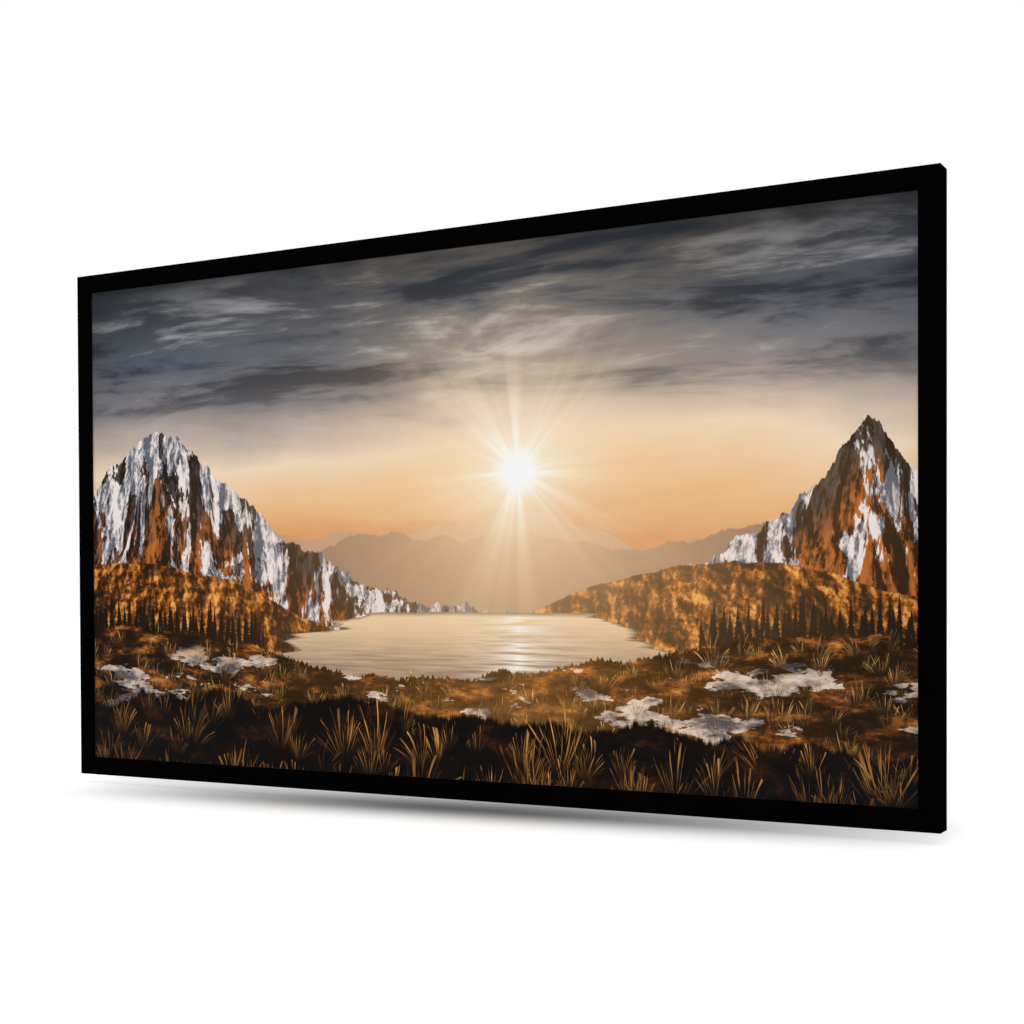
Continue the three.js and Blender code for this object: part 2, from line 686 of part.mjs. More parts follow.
function thumbScrewGeometry(side) {
  const z = side.halfSpan - footInner - THUMB_SCREW_HEIGHT;
  const tip = BAR_WIDTH / 2 + CLEARANCE;
  const knob = tip + SHOE_WALL + CLEARANCE;
  const stem = bar(THUMB_SCREW_RADIUS, [tip, barMiddleY, z], [knob + KNOB_LENGTH / 2, barMiddleY, z], 10);
  const grip = bar(KNOB_RADIUS, [knob, barMiddleY, z], [knob + KNOB_LENGTH, barMiddleY, z], 16);
  return geometryOf(solidOf(stem).add(solidOf(grip)));
}

for (const name of ["top", "bottom"]) {
  const side = sides[name];
  const [lowX, highX] = name === "top" ? ["left", "right"] : ["right", "left"];
  addPiece(side.group, `bar_shoe_${name}`, shoeGeometry(side), materials.bracket);
  addPiece(side.group, `shoe_screw_${name}_${lowX}`, shoeScrewGeometry(side, -shoeScrewX), materials.steel);
  addPiece(side.group, `shoe_screw_${name}_${highX}`, shoeScrewGeometry(side, shoeScrewX), materials.steel);
  addPiece(side.group, `thumb_screw_${name}`, thumbScrewGeometry(side), materials.knob);
}

// Wall brackets. A top bracket's tongue points up, in front of the rail's hanging lip, and carries the rail's
// box. A bottom bracket's tongue points up inside the rail's slot, so the frame lifts on and off both together.

const tongueBack = WALL + CLEARANCE;
const tongueFront = tongueBack + BRACKET_THICKNESS;
const plateFront = BRACKET_THICKNESS - STANDOFF;

// Points are [v, height], where height is measured up from the underside of the web.
function bracketGeometry(profile, zAtWeb, plateLow, plateHigh) {
  const shape = shapeOf(profile.map(([v, height]) => [depthAt(v), zAtWeb + height]));
  let solid = solidOf(sweepX(shape, -BRACKET_WIDTH / 2, BRACKET_WIDTH / 2));
  const z = zAtWeb + (plateLow + plateHigh) / 2;
  const radius = BRACKET_SLOT_WIDTH / 2;
  const straight = (BRACKET_SLOT_LENGTH - BRACKET_SLOT_WIDTH) / 2;
  for (const x of [-BRACKET_SLOT_PITCH / 2, BRACKET_SLOT_PITCH / 2]) {
    const slot = new THREE.Shape();
    slot.absarc(x - straight, z, radius, Math.PI / 2, (3 * Math.PI) / 2);
    slot.absarc(x + straight, z, radius, -Math.PI / 2, Math.PI / 2);
    const cutter = sweepY(slot, -2 * BRACKET_THICKNESS, BRACKET_THICKNESS);
    solid = solid.subtract(solidOf(cutter));
  }
  return geometryOf(solid);
}

function addTopBracket(name, x) {
  const web = BRACKET_THICKNESS;
  const profile = [
    [-STANDOFF, -BRACKET_PLATE],
    [plateFront, -BRACKET_PLATE],
    [plateFront, 0],
    [tongueFront, 0],
    [tongueFront, web + HOOK_REACH],
    [tongueBack, web + HOOK_REACH],
    [tongueBack, web],
    [-STANDOFF, web],
  ];
  const zAtWeb = FRAME_CENTRE_Z + FRAME_HEIGHT / 2 - TOP_PLATE_TOP - web;
  const geometry = bracketGeometry(profile, zAtWeb, -BRACKET_PLATE, 0);
  addPiece(screen, name, geometry, materials.bracket).position.x = x;
}

function addBottomBracket(name, x) {
  const web = BRACKET_THICKNESS;
  const tongueTop = CHAMBER_WIDTH - WALL - CLEARANCE;
  const webBottom = tongueTop - HOOK_REACH_BOTTOM - web;
  const plateTop = web + BRACKET_PLATE;
  const profile = [
    [-STANDOFF, 0],
    [tongueFront, 0],
    [tongueFront, web + HOOK_REACH_BOTTOM],
    [tongueBack, web + HOOK_REACH_BOTTOM],
    [tongueBack, web],
    [plateFront, web],
    [plateFront, plateTop],
    [-STANDOFF, plateTop],
  ];
  const zAtWeb = FRAME_CENTRE_Z - FRAME_HEIGHT / 2 + webBottom;
  const geometry = bracketGeometry(profile, zAtWeb, web, plateTop);
  addPiece(screen, name, geometry, materials.bracket).position.x = x;
}

addTopBracket("wall_bracket_top_left", -BRACKET_SPREAD);
addTopBracket("wall_bracket_top_middle", 0);
addTopBracket("wall_bracket_top_right", BRACKET_SPREAD);
addBottomBracket("wall_bracket_bottom_left", -BRACKET_SPREAD);
addBottomBracket("wall_bracket_bottom_right", BRACKET_SPREAD);

export default screen;
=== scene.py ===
import math

import bmesh
import bpy
from mathutils import Matrix, Vector


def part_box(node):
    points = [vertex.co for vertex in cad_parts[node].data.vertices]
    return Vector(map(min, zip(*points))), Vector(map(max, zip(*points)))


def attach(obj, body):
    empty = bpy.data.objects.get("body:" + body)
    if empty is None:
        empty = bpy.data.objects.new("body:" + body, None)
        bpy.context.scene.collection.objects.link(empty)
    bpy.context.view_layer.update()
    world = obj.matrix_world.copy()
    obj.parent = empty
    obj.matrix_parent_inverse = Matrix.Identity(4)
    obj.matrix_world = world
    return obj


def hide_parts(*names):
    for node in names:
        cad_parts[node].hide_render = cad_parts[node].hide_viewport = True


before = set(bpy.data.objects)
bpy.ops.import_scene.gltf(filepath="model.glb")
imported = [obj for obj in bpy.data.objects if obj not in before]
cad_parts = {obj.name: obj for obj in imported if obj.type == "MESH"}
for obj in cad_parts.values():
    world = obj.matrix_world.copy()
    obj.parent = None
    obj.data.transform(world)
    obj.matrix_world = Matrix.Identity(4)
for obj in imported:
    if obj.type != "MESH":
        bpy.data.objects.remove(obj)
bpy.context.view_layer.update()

# Sizes of the section, in metres. u runs from the frame's outer edge towards the picture, and v from its back
# to its front.
FRAME_FACE = 0.070
GROOVE_U = 0.032
GROOVE_TIP_V = 0.064
GROOVE_LIP = 0.007
ROD_RADIUS = 0.003
ROD_U = 0.053
ROD_STANDS_OUT = 0.008
BAND_FRONT_V = 0.067
BAND_THICKNESS = 0.0008
BAND_END_U = 0.067
BAND_INSET = 0.010
NOTCH_WIDTH = 0.026
SPRINGS_PER_HALF = 8
SPRINGS_PER_SIDE = 9
WIRE_RADIUS = 0.0008
COIL_RADIUS = 0.003
COIL_START_U = 0.0375
COIL_LENGTH = 0.009
CLEARANCE = 0.0003
ROD_V = BAND_FRONT_V - BAND_THICKNESS - CLEARANCE - ROD_RADIUS
VELVET_TURN = 0.009  # how far the velvet goes in over the back edge

# Sizes of the looks, in metres, and how many sides round pieces have.
CLOTH_PITCH = 0.0012
SCRIM_PITCH = 0.0016
SHEET_EASE = 0.0004
BAR_EASE = 0.0006
NEAR = 0.001  # a face this near a plane counts as lying in it
ROD_SIDES = 24
WIRE_SIDES = 8

# The camera, found from the edges of the frame in the photograph. Its place is measured from the middle of
# the frame's front.
CAMERA_PLACE = (2.8666, -4.7562, -0.2640)
CAMERA_YAW = math.radians(28.667)
CAMERA_PITCH = math.radians(-0.853)
CAMERA_ROLL = math.radians(-0.233)
CAMERA_FOCAL_PX = 1574.0
CAMERA_SHIFT_PX = 100.71
IMAGE_PX = 1024
SENSOR_MM = 36
FAR_END = 200

# The light, and the floor with a shadow painted into its colour.
FLOOR_GAP = 0.036
FLOOR_SIZE = 60
FLOOR_COLOUR = 0.80
FLOOR_GLOW = 0.65
PAINTED_SHADOW_DEPTH = 0.866
PAINTED_SHADOW_CENTRE = (0.084, -0.025)
PAINTED_SHADOW_HALF_LENGTH = 1.74
PAINTED_SHADOW_REACH_FRONT = 0.233
PAINTED_SHADOW_REACH_BACK = 0.326
PAINTED_SHADOW_SLANT = 0.072
FRONT_LEVEL = 0.52
FRONT_RISE = math.radians(16)
FRONT_TURN = math.radians(-12)
FRONT_SPREAD = math.radians(40)
WORLD_LEVEL = 0.48

scene = bpy.context.scene
rails = [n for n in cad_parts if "_rail_" in n]
rail_low = Vector(min(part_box(n)[0][i] for n in rails) for i in range(3))
rail_high = Vector(max(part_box(n)[1][i] for n in rails) for i in range(3))
middle = (rail_low + rail_high) / 2
half_width = (rail_high.x - rail_low.x) / 2
half_height = (rail_high.z - rail_low.z) / 2


# Places on the four sides

SIDES = {
    "top": (0, half_height, half_width),
    "right": (1, half_width, half_height),
    "bottom": (2, half_height, half_width),
    "left": (3, half_width, half_height),
}


def place(side, along, u, v):
    """A point on a side: along it, in from its outer edge, and forward from its back."""
    turns, span, _ = SIDES[side]
    x, z = along, span - u
    for _ in range(turns):
        x, z = z, -x
    return Vector((middle.x + x, rail_high.y - v, middle.z + z))


def band_half_length(side):
    return SIDES[side][2] - FRAME_FACE - BAND_INSET


def stations(side):
    """Where the springs of a side are, along it."""
    half = band_half_length(side)
    if side in ("top", "bottom"):
        steps = [half * (i + 0.5) / SPRINGS_PER_HALF for i in range(SPRINGS_PER_HALF)]
        return [-x for x in reversed(steps)] + steps
    return [2 * half * (i + 0.5) / SPRINGS_PER_SIDE - half for i in range(SPRINGS_PER_SIDE)]


# Meshes


def new_piece(name, vertices, faces, material, sharp=35):
    mesh = bpy.data.meshes.new(name)
    mesh.from_pydata([tuple(v) for v in vertices], [], faces)
    bm = bmesh.new()
    bm.from_mesh(mesh)
    bmesh.ops.recalc_face_normals(bm, faces=bm.faces)
    bm.to_mesh(mesh)
    bm.free()
    mesh.materials.append(material)
    mesh.shade_smooth()
    mesh.set_sharp_from_angle(angle=math.radians(sharp))
    piece = bpy.data.objects.new(name, mesh)
    scene.collection.objects.link(piece)
    return piece


def tube(points, radii, sides):
    """A round bar along points, as vertices and faces, with its section carried along without a twist."""
    vertices, faces = [], []
    heading = (points[1] - points[0]).normalized()
    across = heading.orthogonal().normalized()
    for i, point in enumerate(points):
        ahead = points[min(i + 1, len(points) - 1)] - points[max(i - 1, 0)]
        across = (across - ahead * across.dot(ahead) / ahead.length_squared).normalized()
        other = ahead.normalized().cross(across)
        for k in range(sides):
            angle = 2 * math.pi * k / sides
            vertices.append(point + radii[i] * (math.cos(angle) * across + math.sin(angle) * other))
    for i in range(len(points) - 1):
        for k in range(sides):
            a, b = i * sides + k, i * sides + (k + 1) % sides
            faces.append((a, b, b + sides, a + sides))
    last = (len(points) - 1) * sides
    faces.append(tuple(reversed(range(sides))))
    faces.append(tuple(range(last, last + sides)))
    return vertices, faces


def joined(parts):
    """Several (vertices, faces) as one."""
    vertices, faces = [], []
    for more_vertices, more_faces in parts:
        first = len(vertices)
        vertices += more_vertices
        faces += [tuple(first + i for i in face) for face in more_faces]
    return vertices, faces


def thicken(piece, thickness):
    """Gives a sheet its thickness, half of it to each side."""
    modifier = piece.modifiers.new("thickness", "SOLIDIFY")
    modifier.thickness = thickness
    modifier.offset = 0
    modifier.use_even_offset = True
    settled = piece.evaluated_get(bpy.context.evaluated_depsgraph_get())
    mesh = bpy.data.meshes.new_from_object(settled)
    piece.modifiers.clear()
    piece.data = mesh
    return piece


def ride(piece, slot, *nodes):
    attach(piece, "root")
    if nodes:
        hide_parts(*nodes)
    return piece


# Materials


def colour(code):
    """A colour written as on the screen, turned into the renderer's linear values."""
    parts = [(code >> shift & 255) / 255 for shift in (16, 8, 0)]
    return (*[p / 12.92 if p <= 0.04045 else ((p + 0.055) / 1.055) ** 2.4 for p in parts], 1)


class Finish:
    """A material whose nodes are written as formulas. A term is a number or another node's output."""

    def __init__(self, name):
        self.material = bpy.data.materials.new(name)
        self.material.use_nodes = True
        self.tree = self.material.node_tree
        self.shader = self.tree.nodes["Principled BSDF"]

    def put(self, socket, term):
        if isinstance(term, bpy.types.NodeSocket):
            self.tree.links.new(term, socket)
        else:
            socket.default_value = term

    def set(self, **terms):
        for name, term in terms.items():
            self.put(self.shader.inputs[name.replace("_", " ")], term)

    def node(self, kind, inputs=(), **settings):
        node = self.tree.nodes.new("ShaderNode" + kind)
        for name, value in settings.items():
            setattr(node, name, value)
        for name, term in dict(inputs).items():
            self.put(node.inputs[name], term)
        return node

    def math(self, operation, *terms, clamp=False):
        node = self.node("Math", operation=operation, use_clamp=clamp)
        for socket, term in zip(node.inputs, terms):
            self.put(socket, term)
        return node.outputs[0]

    def add(self, *terms):
        total = terms[0]
        for term in terms[1:]:
            total = self.math("ADD", total, term)
        return total

    def sub(self, a, b):
        return self.math("SUBTRACT", a, b)

    def mul(self, *terms):
        total = terms[0]
        for term in terms[1:]:
            total = self.math("MULTIPLY", total, term)
        return total

    def fused(self, a, b, c):
        """a times b plus c, as one node."""
        return self.math("MULTIPLY_ADD", a, b, c)

    def blend(self, *shares):
        """A sum of terms, each with its share."""
        total = self.mul(*shares[0])
        for term, share in shares[1:]:
            total = self.fused(term, share, total)
        return total

    def vector(self, operation, *terms, output="Vector"):
        node = self.node("VectorMath", operation=operation)
        for socket, term in zip(node.inputs, terms):
            self.put(socket, term)
        return node.outputs[output]

    def rise(self, value, start, end, low=0.0, high=1.0):
        """Goes smoothly from low to high as value goes from start to end."""
        node = self.node("MapRange", interpolation_type="SMOOTHSTEP")
        for socket, term in zip(node.inputs, (value, start, end, low, high)):
            self.put(socket, term)
        return node.outputs[0]

    def mix(self, share, a, b, blend="MIX"):
        node = self.node("Mix", data_type="RGBA", blend_type=blend)
        for i, term in ((0, share), (6, a), (7, b)):
            self.put(node.inputs[i], term)
        return node.outputs[2]

    def point(self, x, y=0.0, z=0.0):
        return self.node("CombineXYZ", {"X": x, "Y": y, "Z": z}).outputs[0]

    def noise(self, at, scale, detail=2.0, roughness=0.5, warp=0.0, dimensions="3D"):
        inputs = {"Vector": at, "Scale": scale, "Detail": detail, "Roughness": roughness, "Distortion": warp}
        return self.node("TexNoise", inputs, noise_dimensions=dimensions).outputs["Fac"]

    def ramp(self, value, stops):
        node = self.node("ValToRGB", {"Fac": value})
        elements = node.color_ramp.elements
        while len(elements) < len(stops):
            elements.new(1.0)
        for element, (position, code) in zip(elements, stops):
            element.position = position
            element.color = colour(code)
        return node.outputs[0]

    def here(self):
        """The x, y and z of the point, in the object's own frame."""
        split = self.node("SeparateXYZ", {"Vector": self.node("TexCoord").outputs["Object"]})
        return split.outputs[0], split.outputs[1], split.outputs[2]

    def bump(self, height, strength, distance):
        node = self.node("Bump", {"Height": height, "Strength": strength, "Distance": distance})
        self.put(self.shader.inputs["Normal"], node.outputs[0])


def velvet_finish():
    f = Finish("velvet")
    x, y, z = f.here()
    at = f.point(x, y, z)
    nap = f.noise(at, scale=9, detail=3, roughness=0.6)
    pile = f.noise(at, scale=1400, detail=2, roughness=0.7)
    shade = f.blend((nap, 0.6), (pile, 0.4))
    f.set(Base_Color=f.mix(shade, colour(0x010101), colour(0x060607)), Roughness=1.0)
    f.set(Specular_IOR_Level=0.0, Sheen_Weight=0.002, Sheen_Roughness=0.5)
    f.bump(pile, strength=0.5, distance=0.0004)
    return f.material


def metal_finish(name, dark, light, rough, grain, stretch=(1, 1, 1)):
    """Bare metal with a grain, drawn out along the directions where stretch is small."""
    f = Finish(name)
    x, y, z = f.here()
    at = f.point(f.mul(x, stretch[0]), f.mul(y, stretch[1]), f.mul(z, stretch[2]))
    cloud = f.noise(at, scale=grain / 12, detail=4, roughness=0.6)
    fine = f.noise(at, scale=grain, detail=3, roughness=0.6)
    shade = f.blend((cloud, 0.55), (fine, 0.45))
    f.set(Base_Color=f.mix(shade, colour(dark), colour(light)), Metallic=1.0)
    f.set(Roughness=f.rise(fine, 0.2, 0.8, rough - 0.08, rough + 0.1))
    f.bump(fine, strength=0.15, distance=0.0002)
    return f.material


def zinc_finish():
    """Zinc-plated sheet, with soft crystals in it."""
    f = Finish("zinc_plated_sheet")
    x, y, z = f.here()
    at = f.point(x, y, z)
    crystals = f.node("TexVoronoi", {"Vector": at, "Scale": 160, "Randomness": 1.0})
    grey = f.node("SeparateXYZ", {"Vector": crystals.outputs["Color"]}).outputs[0]
    shade = f.blend((grey, 0.5), (f.noise(at, scale=40, detail=3), 0.5))
    f.set(Base_Color=f.mix(shade, colour(0x8B8F94), colour(0xBFC3C6)), Metallic=1.0)
    f.set(Roughness=f.rise(shade, 0.2, 0.8, 0.32, 0.48))
    f.bump(f.noise(at, scale=500, detail=2), strength=0.1, distance=0.0002)
    return f.material


def plastic_finish():
    f = Finish("black_plastic")
    x, y, z = f.here()
    grain = f.noise(f.point(x, y, z), scale=2200, detail=2, roughness=0.6)
    f.set(Base_Color=f.mix(grain, colour(0x0B0B0C), colour(0x1B1B1D)), Roughness=0.5)
    f.bump(grain, strength=0.3, distance=0.0001)
    return f.material


def weave(f, x, z, pitch):
    """A plain weave's height, from 0 to 1: threads along x and z pass over and under each other."""
    warp = f.math("SINE", f.mul(x, math.pi / pitch))
    weft = f.math("SINE", f.mul(z, math.pi / pitch))
    over = f.mul(f.math("ABSOLUTE", warp), f.math("ABSOLUTE", weft))
    return f.math("POWER", over, 0.5)


def backing_finish():
    f = Finish("black_scrim")
    x, y, z = f.here()
    threads = weave(f, x, z, SCRIM_PITCH)
    blotch = f.noise(f.point(x, y, z), scale=6, detail=3, roughness=0.6)
    shade = f.blend((threads, 0.6), (blotch, 0.4))
    f.set(Base_Color=f.mix(shade, colour(0x070708), colour(0x1C1C1E)), Roughness=0.95)
    f.set(Specular_IOR_Level=0.15)
    f.bump(threads, strength=0.3, distance=0.0003)
    return f.material


def webbing_finish():
    """The sleeves' coated webbing, with ribs across it and two rows of stitches along it."""
    rib_pitch, stitch_pitch = 0.0018, 0.006
    row_us, thread_radius = (0.0605, 0.0640), 0.0005
    f = Finish("webbing")
    x, y, z = f.here()
    in_x = f.sub(half_width, f.math("ABSOLUTE", f.sub(x, middle.x)))
    in_z = f.sub(half_height, f.math("ABSOLUTE", f.sub(z, middle.z)))
    u = f.math("MINIMUM", in_x, in_z)
    level = f.math("LESS_THAN", in_z, in_x)
    along = f.add(f.mul(level, x), f.mul(f.sub(1.0, level), z))
    ribs = f.math("ABSOLUTE", f.math("SINE", f.mul(along, math.pi / rib_pitch)))
    dash = f.math("GREATER_THAN", f.math("SINE", f.mul(along, 2 * math.pi / stitch_pitch)), -0.5)
    first, second = (f.math("LESS_THAN", f.math("ABSOLUTE", f.sub(u, row)), thread_radius) for row in row_us)
    stitch = f.mul(dash, f.math("MAXIMUM", first, second))
    cloth = f.mix(f.noise(f.point(x, y, z), scale=60, detail=3), colour(0x131315), colour(0x26262A))
    f.set(Base_Color=f.mix(stitch, f.mix(f.mul(ribs, 0.35), cloth, colour(0x323238)), colour(0x8C8C90)))
    f.set(Roughness=0.7)
    f.bump(f.add(f.mul(ribs, 0.5), stitch), strength=0.5, distance=0.0003)
    return f.material


# The picture on the cloth: a made-up evening landscape that stands for a projected picture, so the
# projector's light is painted into the cloth's colour. s and t run from 0 to 1 across and up the cloth, and p
# runs across it in cloth heights.

SUN_S = 0.585
SUN_T = 0.575
VALLEY_S = 0.52
FINEST_GRAIN = 600  # cycles to a cloth height
SEED_STEPS = (1.7, 1.0)  # how far a step of the seed moves a noise, across and up
SEED_START = 0.37
RELIEF_ROUGHNESS = 0.62


class Picture:
    def __init__(self, low, high):
        self.f = f = Finish("screen_cloth_painted_projection")
        self.x, _, self.z = f.here()
        self.aspect = (high.x - low.x) / (high.z - low.z)
        self.s = f.math("DIVIDE", f.sub(self.x, low.x), high.x - low.x)
        self.t = f.math("DIVIDE", f.sub(self.z, low.z), high.z - low.z)
        self.p = f.mul(self.s, self.aspect)
        self.from_sun_p = f.sub(self.p, SUN_S * self.aspect)
        self.from_sun_t = f.sub(self.t, SUN_T)
        self.here = f.point(self.p, self.t)
        self.from_sun = f.vector("LENGTH", f.point(self.from_sun_p, self.from_sun_t), output="Value")
        self.sun_side = f.point(f.math("SIGN", self.from_sun_p), 1.0)

    def flat_noise(self, at, detail, roughness, warp=0.0):
        return self.f.noise(at, 1.0, detail, roughness, warp, dimensions="2D")

    def at(self, place, across, up, seed):
        """A place on a noise: a place on the cloth, stretched and moved on by the seed."""
        moved = (SEED_STEPS[0] * seed, SEED_STEPS[1] * seed + SEED_START, 0)
        return self.f.vector("MULTIPLY_ADD", place, (across, up, 0), moved)

    def octaves(self, across, up, most=12.0):
        """How many octaves a noise takes before its grain is too fine to be seen."""
        return min(most, math.log2(FINEST_GRAIN / max(across, up)))

    def noise(self, across, up, seed, octaves=2.0, roughness=0.5, place=None, warp=0.0):
        at = self.at(place or self.here, across, up, seed)
        return self.flat_noise(at, self.octaves(across, up, octaves), roughness, warp)

    def uneven(self, base, size, across, up, seed, octaves, roughness, place=None):
        """base, and a noise that takes it up and down by up to half of size."""
        noise = self.noise(across, up, seed, octaves, roughness, place)
        return self.f.fused(self.f.sub(noise, 0.5), size, base)

    def wave(self, base, size, rate, phase=0.0):
        """A line that goes up and down by size about base, from side to side of the cloth."""
        f = self.f
        return f.fused(f.math("SINE", f.fused(self.s, rate, phase)), size, base)

    def hump(self, at, width):
        """1 where s is at, and falling evenly to 0 a width away from there."""
        away = self.f.math("ABSOLUTE", self.f.sub(self.s, at))
        return self.f.math("SUBTRACT", 1.0, self.f.math("DIVIDE", away, width), clamp=True)

    def below(self, line, soft):
        """1 under the line and 0 above it."""
        return self.f.rise(self.f.sub(line, self.t), -soft, soft)

    def fade(self, distance, reach):
        """1 at no distance, and about a third as much at each reach further on."""
        return self.f.math("EXPONENT", self.f.math("DIVIDE", distance, -reach))

    def relief(self, across, up, seed, place, step=0.012):
        """Light and shade on rough ground, from 0 to 1, lit from the sun's side."""
        f = self.f
        nearer = f.vector("MULTIPLY_ADD", self.sun_side, (-step, step * 0.6, 0), place)
        octaves = self.octaves(across, up)
        here = self.noise(across, up, seed, octaves, RELIEF_ROUGHNESS, place)
        there = self.noise(across, up, seed, octaves, RELIEF_ROUGHNESS, place=nearer)
        return f.rise(f.sub(here, there), -0.09, 0.11)

    def sky(self):
        f = self.f
        height = self.uneven(self.t, size=0.16, across=1.3, up=3.0, seed=3.1, octaves=5, roughness=0.55)
        stops = [(0.44, 0xD98F58), (0.53, 0xF0BE8A), (0.61, 0xF4DCBE), (0.67, 0xC2B1A6), (0.73, 0x827F83)]
        stops += [(0.82, 0x5C626C), (0.91, 0x434851), (1.0, 0x2A2E36)]
        base = f.ramp(height, stops)
        bands = self.noise(across=1.5, up=8.5, seed=7.7, octaves=10, roughness=0.6, warp=0.35)
        wisps = self.noise(across=5.0, up=34.0, seed=8.8, octaves=8, roughness=0.62, warp=0.5)
        bands = f.blend((bands, 0.8), (wisps, 0.2))
        dark = f.mul(f.rise(bands, 0.51, 0.38), f.rise(self.t, 0.62, 0.8))
        base = f.mix(f.mul(dark, 0.8), base, colour(0x23272E))
        pale = f.mul(f.rise(bands, 0.54, 0.68), f.rise(self.t, 0.6, 0.72), f.rise(self.t, 1.02, 0.86))
        base = f.mix(f.mul(pale, 0.7), base, colour(0xC6C7CA))
        warm = f.mul(self.fade(self.from_sun, reach=0.20), f.rise(bands, 0.4, 0.62), 0.8)
        return f.mix(warm, base, colour(0xFBDDB0))

    def far_ridges(self, base):
        f = self.f
        for number, (line, size, code) in enumerate(((0.470, 0.11, 0xB98F79), (0.447, 0.09, 0x83675C))):
            crest = self.wave(line, size=0.02, rate=14, phase=number)
            across, seed = 4.5 + 2 * number, 20 + number
            top = self.uneven(crest, size, across, up=0, seed=seed, octaves=9, roughness=0.58)
            haze = f.mix(self.fade(self.from_sun, reach=0.30), colour(code), colour(0xF4C896))
            base = f.mix(self.below(top, soft=0.002), base, haze)
        return base

    def mountains(self, base):
        """Dark crags with snow in their gullies, and brown grass on their lower sides."""
        f = self.f
        peaks = [(self.hump(at=0.10, width=0.38), 0.34), (self.hump(at=0.95, width=0.30), 0.26)]
        crests = [(self.hump(at=0.10, width=0.13), 0.06), (self.hump(at=0.95, width=0.10), 0.05)]
        massif = f.add(0.30, f.blend(*peaks, *crests))
        top = self.uneven(massif, size=0.17, across=4.2, up=0, seed=31, octaves=11, roughness=0.66)
        depth = f.sub(top, self.t)
        straight = f.point(self.p, depth)
        bend = {"size": 0.14, "across": 5.0, "up": 3.0, "seed": 37, "octaves": 4, "roughness": 0.6}
        gully = f.point(self.p, self.uneven(depth, place=straight, **bend))
        slope = self.relief(across=8.0, up=3.2, seed=41, place=gully)
        crags = self.relief(across=26.0, up=13.0, seed=43, place=gully)
        grit = self.relief(across=80.0, up=50.0, seed=44, place=gully, step=0.004)
        light = f.blend((slope, 0.45), (crags, 0.33), (grit, 0.22))
        light = f.rise(light, 0.22, 0.78)
        rock = f.mix(light, colour(0x060708), colour(0x4A4442))
        grass = f.mix(light, colour(0x1F1006), colour(0xC06A28))
        patch = self.noise(across=4.0, up=3.0, seed=47, octaves=8, roughness=0.62, place=gully)
        lower = f.mul(f.rise(patch, 0.40, 0.52), f.rise(depth, 0.03, 0.11))
        rock = f.mix(f.mul(lower, 0.95), rock, grass)
        drifts = self.noise(across=11.0, up=4.0, seed=53, octaves=12, roughness=0.70, place=gully, warp=0.4)
        above = f.fused(depth, -0.30, f.fused(slope, 0.08, drifts))
        snow = f.rise(above, 0.495, 0.517)
        white = f.mix(light, colour(0x596170), colour(0xF3E9E4))
        surface = f.mix(snow, rock, white)
        haze = f.mul(self.fade(self.from_sun, reach=0.20), 0.6)
        surface = f.mix(haze, surface, colour(0xD9945A))
        return f.mix(self.below(top, soft=0.0012), base, surface)

    def hills(self, base):
        f = self.f
        valley = f.mul(-0.075, f.math("POWER", self.hump(at=VALLEY_S, width=0.30), 0.8))
        crest = f.add(self.wave(0.37, size=0.05, rate=9, phase=1.0), valley)
        top = self.uneven(crest, size=0.05, across=5, up=0, seed=61, octaves=9, roughness=0.6)
        place = f.point(self.p, f.sub(top, self.t))
        folds = self.relief(7.0, 7.0, 67, place)
        small = self.relief(30.0, 26.0, 68, place, step=0.006)
        grit = self.noise(across=150, up=60, seed=71, octaves=4, roughness=0.65)
        light = f.blend((folds, 0.5), (small, 0.3), (grit, 0.25))
        stops = [(0.15, 0x100804), (0.38, 0x3E210C), (0.58, 0x8E4E1B), (0.76, 0xD38637), (0.92, 0xF2B468)]
        surface = f.ramp(light, stops)
        surface = f.mix(f.mul(self.fade(self.from_sun, reach=0.20), 0.55), surface, colour(0xF2B064))
        return f.mix(self.below(top, soft=0.0015), base, surface)

    def lake(self, base):
        f = self.f
        bowl = f.fused(f.math("SQRT", self.hump(at=VALLEY_S, width=0.25)), 0.17, 0.20)
        bowl = self.uneven(bowl, size=0.13, across=2.2, up=30, seed=73, octaves=7, roughness=0.55)
        far_shore = self.uneven(0.318, size=0.006, across=9, up=0, seed=74, octaves=6, roughness=0.6)
        top = f.math("MINIMUM", bowl, far_shore)
        ripples = self.noise(across=7, up=150, seed=79, octaves=4, roughness=0.6)
        water = f.mix(ripples, colour(0x55565F), colour(0xE0B78D))
        water = f.mix(f.rise(self.t, 0.20, 0.32), water, colour(0xF3D2A8))
        across = f.math("ABSOLUTE", self.from_sun_p)
        glitter = f.mul(self.fade(across, reach=0.05), f.rise(ripples, 0.36, 0.58))
        water = f.mix(glitter, water, colour(0xFFFDF4))
        edge = f.rise(f.sub(top, self.t), 0.010, 0.0)
        water = f.mix(f.mul(edge, 0.7), water, colour(0x2A1A10))
        return f.mix(self.below(top, soft=0.0012), base, water)

    def trees(self, base, foot, height, count, seed):
        """A row of firs, one to a cell, that differ in height and stand a little off their places."""
        f = self.f
        run = f.mul(self.p, count)
        cell = f.math("FLOOR", run)
        seeds = (seed, seed + 0.5)
        dice = [f.node("TexWhiteNoise", {"W": f.add(cell, own)}, noise_dimensions="1D") for own in seeds]
        chance, shift = (die.outputs["Value"] for die in dice)
        off = f.math("ABSOLUTE", f.sub(f.sub(run, cell), f.fused(shift, 0.3, 0.35)))
        tall = f.fused(chance, 0.65 * height, 0.35 * height)
        level = f.math("DIVIDE", f.sub(self.t, foot), tall)
        tiers, widest, taper = 7.0, 0.42, 0.45
        tier = f.math("FRACT", f.mul(level, tiers))
        reach = f.mul(f.sub(1.0, level), f.fused(tier, -taper * widest, widest))
        body = f.rise(f.sub(reach, off), -0.02, 0.02)
        low = f.rise(level, -1.2, -1.0)
        shade = f.mix(self.noise(200, 90, seed, octaves=3), colour(0x040302), colour(0x1C0F07))
        glow = f.mul(self.fade(self.from_sun, reach=0.18), 0.25)
        return f.mix(f.mul(body, low), base, f.mix(glow, shade, colour(0xA8642E)))

